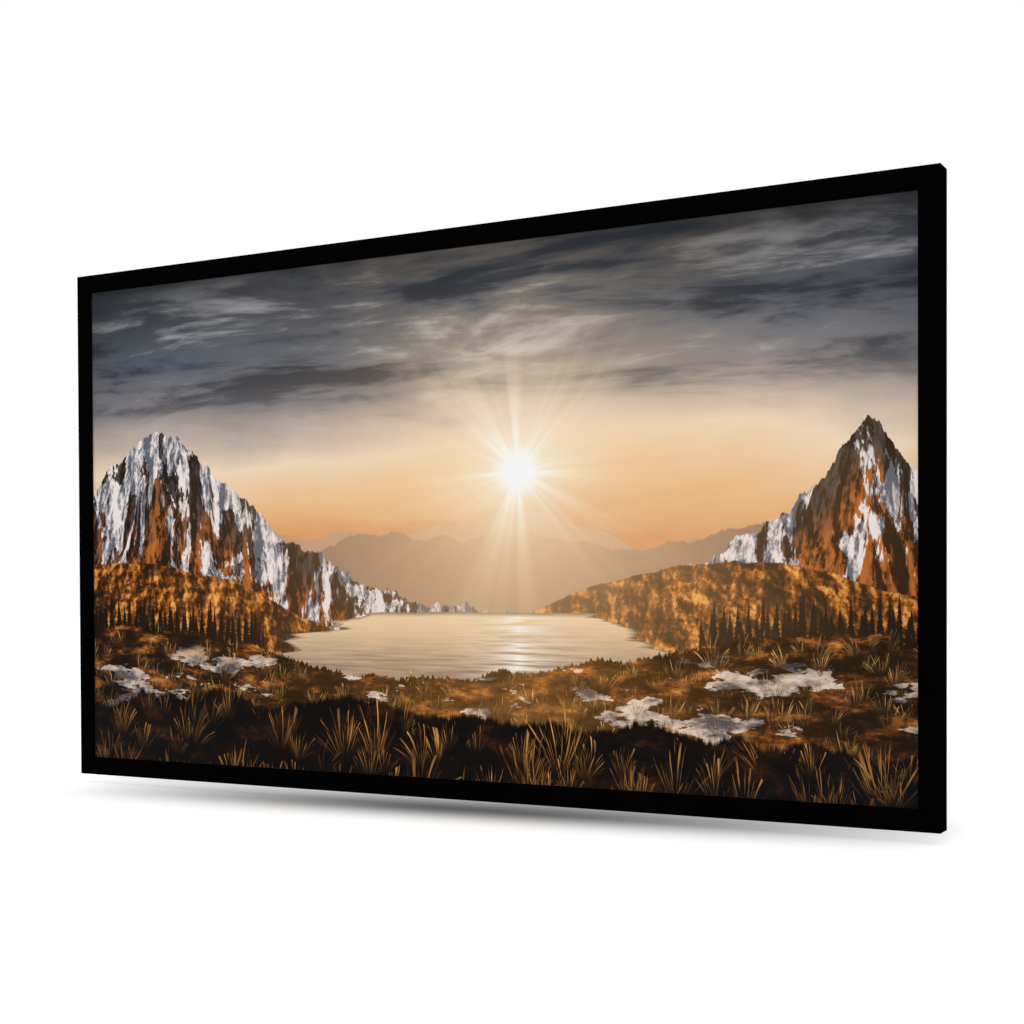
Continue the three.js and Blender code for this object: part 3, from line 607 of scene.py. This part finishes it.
    def forest(self, base):
        f = self.f
        gap = f.rise(f.math("ABSOLUTE", f.sub(self.s, VALLEY_S)), 0.235, 0.275)
        foot = f.fused(gap, 0.2, self.wave(0.062, size=0.02, rate=6.5, phase=math.pi / 2))
        base = self.trees(base, f.add(foot, 0.012), height=0.065, count=62, seed=11.0)
        return self.trees(base, foot, height=0.085, count=45, seed=23.0)

    def tufts(self, base, scale, foot, length, seed, dark, bright, share=1.0):
        """Clumps of grass below a line. In each cell, thin blades fan out from a point under its middle."""
        f = self.f
        squash, root_depth = 0.8, 0.42
        stretch = (scale, scale * squash, 0)
        place = f.vector("MULTIPLY_ADD", self.here, stretch, (0, seed, 0))
        cell = f.node("TexVoronoi", {"Vector": place, "Scale": 1.0}, voronoi_dimensions="2D")
        middle_of_cell = cell.outputs["Position"]
        chance = f.node("SeparateXYZ", {"Vector": cell.outputs["Color"]}).outputs
        above_root = f.vector("MULTIPLY_ADD", self.here, stretch, (0, seed + root_depth, 0))
        from_root = f.vector("SUBTRACT", above_root, middle_of_cell)
        radius = f.vector("LENGTH", from_root, output="Value")
        x, z, _ = f.node("SeparateXYZ", {"Vector": from_root}).outputs
        angle = f.fused(radius, f.fused(chance[1], 0.9, -0.45), f.math("ARCTAN2", x, z))
        own = f.mul(chance[0], 90.0)
        polar = f.point(angle, radius)
        blades = self.flat_noise(f.vector("MULTIPLY_ADD", polar, (21.0, 1.1, 0), own), 3, 0.6)
        uneven = self.flat_noise(f.vector("MULTIPLY_ADD", polar, (12.0, 0, 0), own), 2, 0.6)
        ends = f.rise(uneven, 0.3, 0.75, 0.15 * length, 1.3 * length)
        blade = f.mul(f.rise(blades, 0.50, 0.58), f.rise(radius, ends, f.mul(ends, 0.6)))
        blade = f.mul(blade, f.rise(f.math("ABSOLUTE", angle), 0.95, 0.45))
        level = f.node("SeparateXYZ", {"Vector": middle_of_cell}).outputs[1]
        inside = f.math("LESS_THAN", level, f.fused(foot, stretch[1], seed))
        present = f.mul(f.math("LESS_THAN", chance[2], share), inside)
        lit = f.mul(f.rise(radius, 0.1, 0.8 * length), f.rise(blades, 0.5, 0.64))
        tone = f.mul(lit, f.add(0.45, chance[1]))
        return f.mix(f.mul(blade, present), base, f.mix(tone, colour(dark), colour(bright)))

    def meadow(self, base):
        f = self.f
        shore = self.wave(0.205, size=0.045, rate=6.5, phase=math.pi / 2)
        top = f.fused(self.noise(across=7, up=0, seed=84, octaves=7), 0.05, shore)
        top = f.fused(self.noise(across=170, up=0, seed=83, octaves=3, roughness=0.6), 0.02, top)
        clods = self.noise(across=11, up=30, seed=91, octaves=10, roughness=0.70)
        stops = [(0.40, 0x050302), (0.50, 0x1E0F06), (0.58, 0x5A3012), (0.67, 0xAA6426), (0.78, 0xEDB268)]
        surface = f.ramp(clods, stops)
        drifts = self.noise(across=4.5, up=15, seed=93, octaves=10, roughness=0.64)
        snow = f.mul(f.rise(drifts, 0.575, 0.59), f.rise(self.t, 0.26, 0.2))
        surface = f.mix(snow, surface, f.mix(f.rise(clods, 0.35, 0.65), colour(0x57545C), colour(0xF4E1CE)))
        near_sun = f.mul(self.fade(f.math("ABSOLUTE", self.from_sun_p), reach=0.30), 0.5)
        surface = f.mix(near_sun, surface, f.mix(clods, surface, colour(0xE9A252)))
        base = f.mix(self.below(top, soft=0.0015), base, surface)
        for scale, seed, share in ((27, 5.3, 0.9), (21, 2.9, 0.8)):
            grass = {"foot": f.sub(top, 0.012), "length": 0.95, "dark": 0x2A1408, "bright": 0xFFC474}
            base = self.tufts(base, scale, seed=seed, share=share, **grass)
        return base

    def foreground(self, base):
        f = self.f
        edge = self.wave(0.065, size=0.03, rate=5, phase=0.0)
        top = f.fused(self.noise(across=6, up=0, seed=98, octaves=8), 0.10, edge)
        top = f.fused(self.noise(across=150, up=0, seed=97, octaves=3, roughness=0.7), 0.02, top)
        clods = self.noise(across=9, up=15, seed=103, octaves=9, roughness=0.68)
        surface = f.ramp(clods, [(0.42, 0x040302), (0.56, 0x120A05), (0.68, 0x3B200D), (0.80, 0x8A5222)])
        base = f.mix(self.below(top, soft=0.006), base, surface)
        for scale, seed, share in ((16, 3.7, 0.8), (12, 9.4, 0.7), (9, 6.2, 0.5)):
            grass = {"foot": f.sub(top, 0.02), "length": 1.05, "dark": 0x0C0603, "bright": 0xF2A857}
            base = self.tufts(base, scale, seed=seed, share=share, **grass)
        return base

    def sunlight(self, base):
        """The sun, the glow that it spreads over what is round it, and rays."""
        f = self.f
        angle = f.math("ARCTAN2", self.from_sun_t, self.from_sun_p)
        rays = f.rise(self.flat_noise(f.point(f.mul(angle, 3.2), SEED_START), 5, 0.65), 0.42, 0.72)
        wide = f.mul(self.fade(self.from_sun, reach=0.20), f.fused(rays, 0.4, 0.5))
        base = f.mix(f.mul(wide, f.rise(self.t, 0.95, 0.62)), base, colour(0xFFCF8C))
        near = f.math("MULTIPLY", self.fade(self.from_sun, reach=0.075), f.fused(rays, 1.2, 1.2), clamp=True)
        base = f.mix(near, base, colour(0xFFF3DC), "SCREEN")
        core = f.rise(self.from_sun, 0.060, 0.015)
        return f.mix(core, base, colour(0xFFFFFF))

    def finish(self):
        f = self.f
        layers = [self.far_ridges, self.mountains, self.hills, self.lake, self.forest]
        layers += [self.sunlight, self.meadow, self.foreground]
        base = self.sky()
        for layer in layers:
            base = layer(base)
        away = f.vector("LENGTH", f.point(f.sub(self.s, 0.5), f.sub(self.t, 0.55)), output="Value")
        shade = f.mul(f.rise(away, 0.42, 0.75), 0.55)
        base = f.mix(shade, base, colour(0x0A0A0C))
        threads = weave(f, self.x, self.z, CLOTH_PITCH)
        base = f.mix(f.mul(f.sub(1.0, threads), 0.10), base, colour(0x000000))
        # The base colour carries the projected picture as painted light.
        f.set(Base_Color=base, Roughness=0.9, Specular_IOR_Level=0.1)
        f.bump(threads, strength=0.15, distance=0.0002)
        return f.material


# Frame


def section_place(polygon, mesh):
    """Where the middle of a face is in the section, as its u and v."""
    us, vs = [], []
    for i in polygon.vertices:
        point = mesh.vertices[i].co
        in_x = half_width - abs(point.x - middle.x)
        in_z = half_height - abs(point.z - middle.z)
        us.append(min(in_x, in_z))
        vs.append(rail_high.y - point.y)
    return sum(us) / len(us), sum(vs) / len(vs)


def dress_rails(velvet, bare):
    """Velvet on the front, the outside, the turned-over back edge and the cut ends, and bare metal inside."""
    for name in rails:
        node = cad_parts[name]
        node.data.materials.clear()
        node.data.materials.append(velvet)
        node.data.materials.append(bare)
        for polygon in node.data.polygons:
            u, v = section_place(polygon, node.data)
            normal = polygon.normal
            front = normal.y < -0.3 and v > GROOVE_TIP_V
            outside = u < NEAR and abs(normal.y) < 0.5
            turned_over = normal.y > 0.9 and v < NEAR and u < VELVET_TURN
            mitred = abs(normal.x) > 0.6 and abs(normal.z) > 0.6
            halved = abs(normal.x) > 0.9 and abs(polygon.center.x - middle.x) < NEAR
            covered = front or outside or turned_over or mitred or halved
            polygon.material_index = 0 if covered else 1


def paint(node, material):
    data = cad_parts[node].data
    data.materials.clear()
    data.materials.append(material)


# Cloth


def sheet_grid(name, node, material, slot, cell=0.026, scallop=0.002):
    """A stretched sheet in a flat node's place. Between the springs its hidden edges pull in a little."""
    low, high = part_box(node)
    columns = round((high.x - low.x) / cell)
    rows = round((high.z - low.z) / cell)
    vertices, faces = [], []

    def pull(along, side):
        points = stations(side)
        pitch = points[1] - points[0]
        return scallop * (0.5 - 0.5 * math.cos(2 * math.pi * (along - points[0]) / pitch))

    for j in range(rows + 1):
        for i in range(columns + 1):
            x = low.x + (high.x - low.x) * i / columns
            z = low.z + (high.z - low.z) * j / rows
            if j in (0, rows):
                z += pull(x - middle.x, "top") * (1 if j == 0 else -1)
            if i in (0, columns):
                x += pull(z - middle.z, "left") * (1 if i == 0 else -1)
            vertices.append((x, (low.y + high.y) / 2, z))
    for j in range(rows):
        for i in range(columns):
            a = j * (columns + 1) + i
            faces.append((a, a + 1, a + columns + 2, a + columns + 1))
    piece = new_piece(name, vertices, faces, material)
    thicken(piece, high.y - low.y)
    ride(piece, slot, node)
    return piece, (high.x - low.x, high.z - low.z)


def sleeve_line():
    """A sleeve's webbing in the section: a tail, a turn round the rod, and back along the tail."""
    tail_v = BAND_FRONT_V - BAND_THICKNESS / 2
    radius = ROD_RADIUS + CLEARANCE + BAND_THICKNESS / 2
    sewn_gap = 0.00005
    back_v = tail_v - BAND_THICKNESS - sewn_gap
    line = [(u, tail_v) for u in (BAND_END_U, 0.0637, 0.0602, 0.0575)]
    leaves = math.asin((back_v - ROD_V) / radius)
    turn = 2 * math.pi + leaves - math.pi / 2
    steps = 20
    for i in range(steps + 1):
        angle = math.pi / 2 + turn * i / steps
        line.append((ROD_U + radius * math.cos(angle), ROD_V + radius * math.sin(angle)))
    return line + [(u, back_v) for u in (0.0602, 0.0637, 0.0655)]


def add_sleeve(side, node, material):
    line = sleeve_line()
    tail_cells = 3
    half = band_half_length(side)
    cuts = [-half, half]
    notches = []
    for x in stations(side):
        notches.append((x - NOTCH_WIDTH / 2, x + NOTCH_WIDTH / 2))
        cuts += notches[-1]
    cuts = sorted(cuts)
    vertices, faces, index = [], [], {}

    def corner(i, k):
        if (i, k) not in index:
            index[i, k] = len(vertices)
            vertices.append(place(side, cuts[i], *line[k]))
        return index[i, k]

    area = 0.0
    for i in range(len(cuts) - 1):
        notched = any(low < (cuts[i] + cuts[i + 1]) / 2 < high for low, high in notches)
        for k in range(tail_cells if notched else len(line) - 1):
            faces.append((corner(i, k), corner(i + 1, k), corner(i + 1, k + 1), corner(i, k + 1)))
            area += math.dist(line[k], line[k + 1]) * (cuts[i + 1] - cuts[i])
    piece = new_piece("sleeve_" + side, vertices, faces, material, sharp=60)
    thicken(piece, BAND_THICKNESS)
    ride(piece, "edging", node)
    cut_width = sum(math.dist(a, b) for a, b in zip(line, line[1:]))
    return piece, (cut_width, 2 * half), area


# Rods and springs


def spring_line():
    """A spring's wire as (u, v, along) points: a hook in the groove, the coil, and a hook round the rod."""
    hook_u = GROOVE_U - CLEARANCE - WIRE_RADIUS
    bend, bend_steps = 0.001, 4
    tip = GROOVE_TIP_V + GROOVE_LIP - 2 * WIRE_RADIUS
    line = [(hook_u, tip, 0), (hook_u, GROOVE_TIP_V + bend, 0)]
    for i in range(bend_steps + 1):
        angle = math.pi / 2 * i / bend_steps
        line.append((hook_u + bend * (1 - math.cos(angle)), ROD_V + bend * (1 - math.sin(angle)), 0))
    radius = COIL_RADIUS - WIRE_RADIUS
    pitch = 2 * WIRE_RADIUS * 1.03
    turns = (COIL_LENGTH - 2 * WIRE_RADIUS) / pitch
    per_turn, crossing = 14, 0.4
    steps = round(turns * per_turn)
    for i in range(steps + 1):
        done = turns * i / steps
        share = min(1, done / crossing, (turns - done) / crossing)
        reach = radius * math.sin(share * math.pi / 2)
        angle = 2 * math.pi * done
        u = COIL_START_U + WIRE_RADIUS + pitch * done
        line.append((u, ROD_V + reach * math.sin(angle), reach * math.cos(angle)))
    line += [(COIL_START_U + COIL_LENGTH + 0.0007, ROD_V - 0.0001, 0)]
    hook = ROD_RADIUS + WIRE_RADIUS + 0.0001
    hook_start, hook_end, hook_steps = 212, 390, 12
    for i in range(hook_steps + 1):
        angle = math.radians(hook_start + (hook_end - hook_start) * i / hook_steps)
        line.append((ROD_U + hook * math.cos(angle), ROD_V + hook * math.sin(angle), 0))
    return line


def add_rod(side, node, start, end, steel, wire):
    ease = 0.0005
    ends = [place(side, x, ROD_U, ROD_V) for x in (start, start + ease, end - ease, end)]
    radii = [ROD_RADIUS - ease, ROD_RADIUS, ROD_RADIUS, ROD_RADIUS - ease]
    name = node.replace("tension_rod_", "")
    rod = new_piece("rod_" + name, *tube(ends, radii, ROD_SIDES), steel)
    ride(rod, "rod", node)
    line = spring_line()
    coils = []
    for x in stations(side):
        if start < x < end:
            points = [place(side, x + along, u, v) for u, v, along in line]
            coils.append(tube(points, [WIRE_RADIUS] * len(points), WIRE_SIDES))
    springs = new_piece("springs_" + name, *joined(coils), wire, sharp=70)
    ride(springs, "rod")


def add_rods(steel, wire):
    for side in ("top", "bottom"):
        reach = band_half_length(side) + ROD_STANDS_OUT
        first, second = ("left", "right") if side == "top" else ("right", "left")
        add_rod(side, f"tension_rod_{side}_{first}", -reach, -CLEARANCE / 2, steel, wire)
        add_rod(side, f"tension_rod_{side}_{second}", CLEARANCE / 2, reach, steel, wire)
    for side in ("left", "right"):
        reach = band_half_length(side) + ROD_STANDS_OUT
        add_rod(side, f"tension_rod_{side}", -reach, reach, steel, wire)


# Fittings


def eased(node, width, material, slot):
    """A copy of a node with its edges taken off, as a pressed or cut piece has them."""
    bm = bmesh.new()
    bm.from_mesh(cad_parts[node].data)
    weld, flat, sharp = 1e-5, math.radians(1), math.radians(50)
    bmesh.ops.remove_doubles(bm, verts=bm.verts, dist=weld)
    bmesh.ops.dissolve_limit(
        bm, angle_limit=flat, verts=bm.verts, edges=bm.edges, use_dissolve_boundaries=False
    )
    edges = [e for e in bm.edges if len(e.link_faces) == 2 and e.calc_face_angle() > sharp]
    bmesh.ops.bevel(bm, geom=edges, offset=width, segments=2, profile=0.5, affect="EDGES", clamp_overlap=True)
    mesh = bpy.data.meshes.new(node + "_eased")
    bm.to_mesh(mesh)
    bm.free()
    mesh.materials.append(material)
    mesh.shade_smooth()
    mesh.set_sharp_from_angle(angle=math.radians(40))
    piece = bpy.data.objects.new(node + "_eased", mesh)
    scene.collection.objects.link(piece)
    return ride(piece, slot, node)


def turned(centre, axis, profile, sides, lobes=0, depth=0.0):
    """A turned piece. The profile has (distance along the axis, radius) points. Lobes are for the fingers."""
    vertices, faces = [], []
    across = axis.orthogonal().normalized()
    other = axis.cross(across)
    widest = max(radius for _, radius in profile)
    for along, radius in profile:
        for k in range(sides):
            angle = 2 * math.pi * k / sides
            dip = depth * (0.5 + 0.5 * math.cos(lobes * angle)) if lobes and radius > 0.7 * widest else 0
            out = (radius - dip) * (math.cos(angle) * across + math.sin(angle) * other)
            vertices.append(centre + axis * along + out)
    for i in range(len(profile) - 1):
        for k in range(sides):
            a, b = i * sides + k, i * sides + (k + 1) % sides
            faces.append((a, b, b + sides, a + sides))
    last = (len(profile) - 1) * sides
    faces.append(tuple(reversed(range(sides))))
    faces.append(tuple(range(last, last + sides)))
    return vertices, faces


def add_thumb_screw(name, material):
    node = "thumb_screw_" + name
    low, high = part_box(node)
    outward = Vector((1 if high.x > 0 else -1, 0, 0))
    length = high.x - low.x
    centre = Vector((low.x if outward.x > 0 else high.x, (low.y + high.y) / 2, (low.z + high.z) / 2))
    grip = (high.z - low.z) / 2
    knob, stem, tip = length - 0.008, 0.0025, 0.0004
    profile = [(0, stem - tip), (tip, stem), (knob, stem), (knob, grip - 0.0012), (knob + 0.0008, grip)]
    profile += [(length - 0.001, grip), (length - 0.0002, grip - 0.0009), (length, grip - 0.002)]
    profile += [(length, 0.0035), (length - 0.0006, 0.003)]
    shape = turned(centre, outward, profile, sides=96, lobes=12, depth=0.0008)
    piece = new_piece("knob_" + name, *shape, material, sharp=45)
    ride(piece, "knob", node)


def add_shoe_screw(node, material):
    """A pan-head screw with a cross recess. Its head is towards the middle of the screen."""
    low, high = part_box(node)
    upward = 1 if (low.z + high.z) / 2 > middle.z else -1
    axis = Vector((0, 0, upward))
    length = high.z - low.z
    head, shank = 0.0038, 0.002
    centre = Vector(((low.x + high.x) / 2, (low.y + high.y) / 2, low.z if upward > 0 else high.z))
    profile = [(0, 0.0012), (0.0001, 0.002), (0.0005, 0.003), (0.0012, head - 0.0002), (0.0018, head)]
    profile += [(0.0024, head), (0.0024, shank)]
    ridge, ridge_pitch, root = 0.0029, 0.001, shank - 0.0004
    while ridge < length - 0.002:
        profile += [(ridge, shank), (ridge + ridge_pitch / 2, root)]
        ridge += ridge_pitch
    profile += [(length - 0.0012, root), (length, 0.0006)]
    screw = new_piece(node + "_turned", *turned(centre, axis, profile, sides=32), material, sharp=50)
    arm_reach, arm_half_width, stands_out, recess_depth = 0.0017, 0.0004, 0.001, 0.0013
    faces = [(0, 1, 3, 2), (4, 6, 7, 5), (0, 4, 5, 1), (2, 3, 7, 6), (0, 2, 6, 4), (1, 5, 7, 3)]
    for number, across in enumerate((Vector((1, 0, 0)), Vector((0, 1, 0)))):
        along = across * arm_reach
        side = axis.cross(across) * arm_half_width
        corners = []
        for sx, sy in ((-1, -1), (-1, 1), (1, -1), (1, 1)):
            corners += [centre + sx * along + sy * side + axis * sz for sz in (-stands_out, recess_depth)]
        cutter = new_piece(f"{node}_cutter_{number}", corners, faces, material)
        modifier = screw.modifiers.new("recess", "BOOLEAN")
        modifier.operation = "DIFFERENCE"
        modifier.object = cutter
        settled = screw.evaluated_get(bpy.context.evaluated_depsgraph_get())
        mesh = bpy.data.meshes.new_from_object(settled)
        screw.modifiers.clear()
        screw.data = mesh
        bpy.data.objects.remove(cutter)
    ride(screw, "steel", node)


# Camera, light and floor


def add_camera():
    data = bpy.data.cameras.new("camera")
    data.sensor_width = SENSOR_MM
    data.lens = CAMERA_FOCAL_PX / IMAGE_PX * SENSOR_MM
    data.shift_y = CAMERA_SHIFT_PX / IMAGE_PX
    data.clip_end = FAR_END
    forward = Vector((
        -math.sin(CAMERA_YAW) * math.cos(CAMERA_PITCH),
        math.cos(CAMERA_YAW) * math.cos(CAMERA_PITCH),
        math.sin(CAMERA_PITCH),
    ))
    level = Vector((math.cos(CAMERA_YAW), math.sin(CAMERA_YAW), 0))
    upright = level.cross(forward)
    right = math.cos(CAMERA_ROLL) * level + math.sin(CAMERA_ROLL) * upright
    up = math.cos(CAMERA_ROLL) * upright - math.sin(CAMERA_ROLL) * level
    camera = bpy.data.objects.new("camera", data)
    turn = Matrix((right, up, -forward)).transposed().to_4x4()
    front_middle = Vector((middle.x, rail_low.y, middle.z))
    camera.matrix_world = Matrix.Translation(front_middle + Vector(CAMERA_PLACE)) @ turn
    scene.collection.objects.link(camera)
    scene.camera = camera


def add_sun(name, level, spread, direction):
    """A sun that gives a white surface square to it that level of brightness."""
    data = bpy.data.lights.new(name, "SUN")
    data.energy = level * math.pi
    data.angle = spread
    sun = bpy.data.objects.new(name, data)
    sun.rotation_euler = direction.to_track_quat("-Z", "Y").to_euler()
    scene.collection.objects.link(sun)


def seen(tree):
    """1 for what the camera sees, also in a mirror or through glass, and 0 for light that falls on things."""
    paths = tree.nodes.new("ShaderNodeLightPath")
    share = paths.outputs["Is Camera Ray"]
    for kind in ("Is Glossy Ray", "Is Transmission Ray"):
        either = tree.nodes.new("ShaderNodeMath")
        either.operation = "MAXIMUM"
        tree.links.new(share, either.inputs[0])
        tree.links.new(paths.outputs[kind], either.inputs[1])
        share = either.outputs[0]
    return share


def add_world():
    """White to the camera and in reflections, and a plain level of soft light on everything."""
    world = bpy.data.worlds.new("white")
    world.use_nodes = True
    scene.world = world
    tree = world.node_tree
    strength = tree.nodes.new("ShaderNodeMapRange")
    strength.inputs["To Min"].default_value = WORLD_LEVEL
    strength.inputs["To Max"].default_value = 1.0
    tree.links.new(seen(tree), strength.inputs["Value"])
    background = tree.nodes["Background"]
    background.inputs["Color"].default_value = (1, 1, 1, 1)
    tree.links.new(strength.outputs["Result"], background.inputs["Strength"])


def add_floor():
    """A white floor just below the screen, with a soft painted shadow in its colour that is darkest below its
    middle.
    """
    f = Finish("floor")
    x, y, _ = f.here()
    # The patch is a painted shadow: it darkens the floor's colour and its glow round the foot of the screen,
    # fading towards the screen's ends and away from its foot.
    along = f.math("DIVIDE", f.sub(x, PAINTED_SHADOW_CENTRE[0]), PAINTED_SHADOW_HALF_LENGTH)
    fill = f.math("SUBTRACT", 1.0, f.mul(along, along), clamp=True)
    away = f.sub(f.sub(y, middle.y + PAINTED_SHADOW_CENTRE[1]), f.mul(x, PAINTED_SHADOW_SLANT))
    behind = f.math("GREATER_THAN", away, 0.0)
    reach = f.add(PAINTED_SHADOW_REACH_FRONT, f.mul(behind, PAINTED_SHADOW_REACH_BACK - PAINTED_SHADOW_REACH_FRONT))
    share = f.math("DIVIDE", away, reach)
    patch = f.mul(fill, f.math("EXPONENT", f.mul(share, share, -1.0)), PAINTED_SHADOW_DEPTH)
    light = f.mix(patch, (1, 1, 1, 1), (0, 0, 0, 1))
    f.set(Base_Color=f.mix(1.0, light, (FLOOR_COLOUR, FLOOR_COLOUR, FLOOR_COLOUR, 1), "MULTIPLY"))
    f.set(Roughness=1.0, Specular_IOR_Level=0.0)
    f.set(Emission_Color=light, Emission_Strength=f.mul(seen(f.tree), FLOOR_GLOW))
    half = FLOOR_SIZE / 2
    z = rail_low.z - FLOOR_GAP
    vertices = [(-half, -half, z), (half, -half, z), (half, half, z), (-half, half, z)]
    floor = new_piece("floor", vertices, [(0, 1, 2, 3)], f.material)


add_camera()
add_world()
add_sun("front_sun", FRONT_LEVEL, FRONT_SPREAD, Vector((
    math.sin(FRONT_TURN) * math.cos(FRONT_RISE),
    math.cos(FRONT_TURN) * math.cos(FRONT_RISE),
    -math.sin(FRONT_RISE),
)))
add_floor()

velvet = velvet_finish()
bare = metal_finish("bare_aluminium", 0x8B8E93, 0xB4B7BA, rough=0.4, grain=900, stretch=(0.05, 1, 1))
steel = metal_finish("zinc_plated_steel", 0x8F9296, 0xC9CCCE, rough=0.3, grain=1500)
wire = metal_finish("spring_wire", 0x9C9C9E, 0xD6D6D6, rough=0.25, grain=2500)
tube_metal = metal_finish("mill_aluminium", 0x95989C, 0xBEC0C3, rough=0.38, grain=900, stretch=(1, 1, 0.05))
zinc = zinc_finish()
plastic = plastic_finish()
webbing = webbing_finish()

dress_rails(velvet, bare)
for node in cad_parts:
    if node.startswith(("corner_plate", "splice_plate")):
        paint(node, steel)

for side in SIDES:
    sleeve, flat, area = add_sleeve(side, "edging_" + side, webbing)

picture = Picture(*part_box("screen_fabric")).finish()
cloth, flat = sheet_grid("picture_cloth", "screen_fabric", picture, "picture")
scrim, flat = sheet_grid("scrim", "black_backing", backing_finish(), "backing")

add_rods(steel, wire)
for node in list(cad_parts):
    if node.startswith(("wall_bracket", "bar_shoe")):
        eased(node, SHEET_EASE, zinc, "bracket")
eased("support_bar", BAR_EASE, tube_metal, "aluminium")
for node in [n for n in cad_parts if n.startswith("shoe_screw")]:
    add_shoe_screw(node, steel)
for name in ("top", "bottom"):
    add_thumb_screw(name, plastic)

scene.view_settings.view_transform = "Standard"
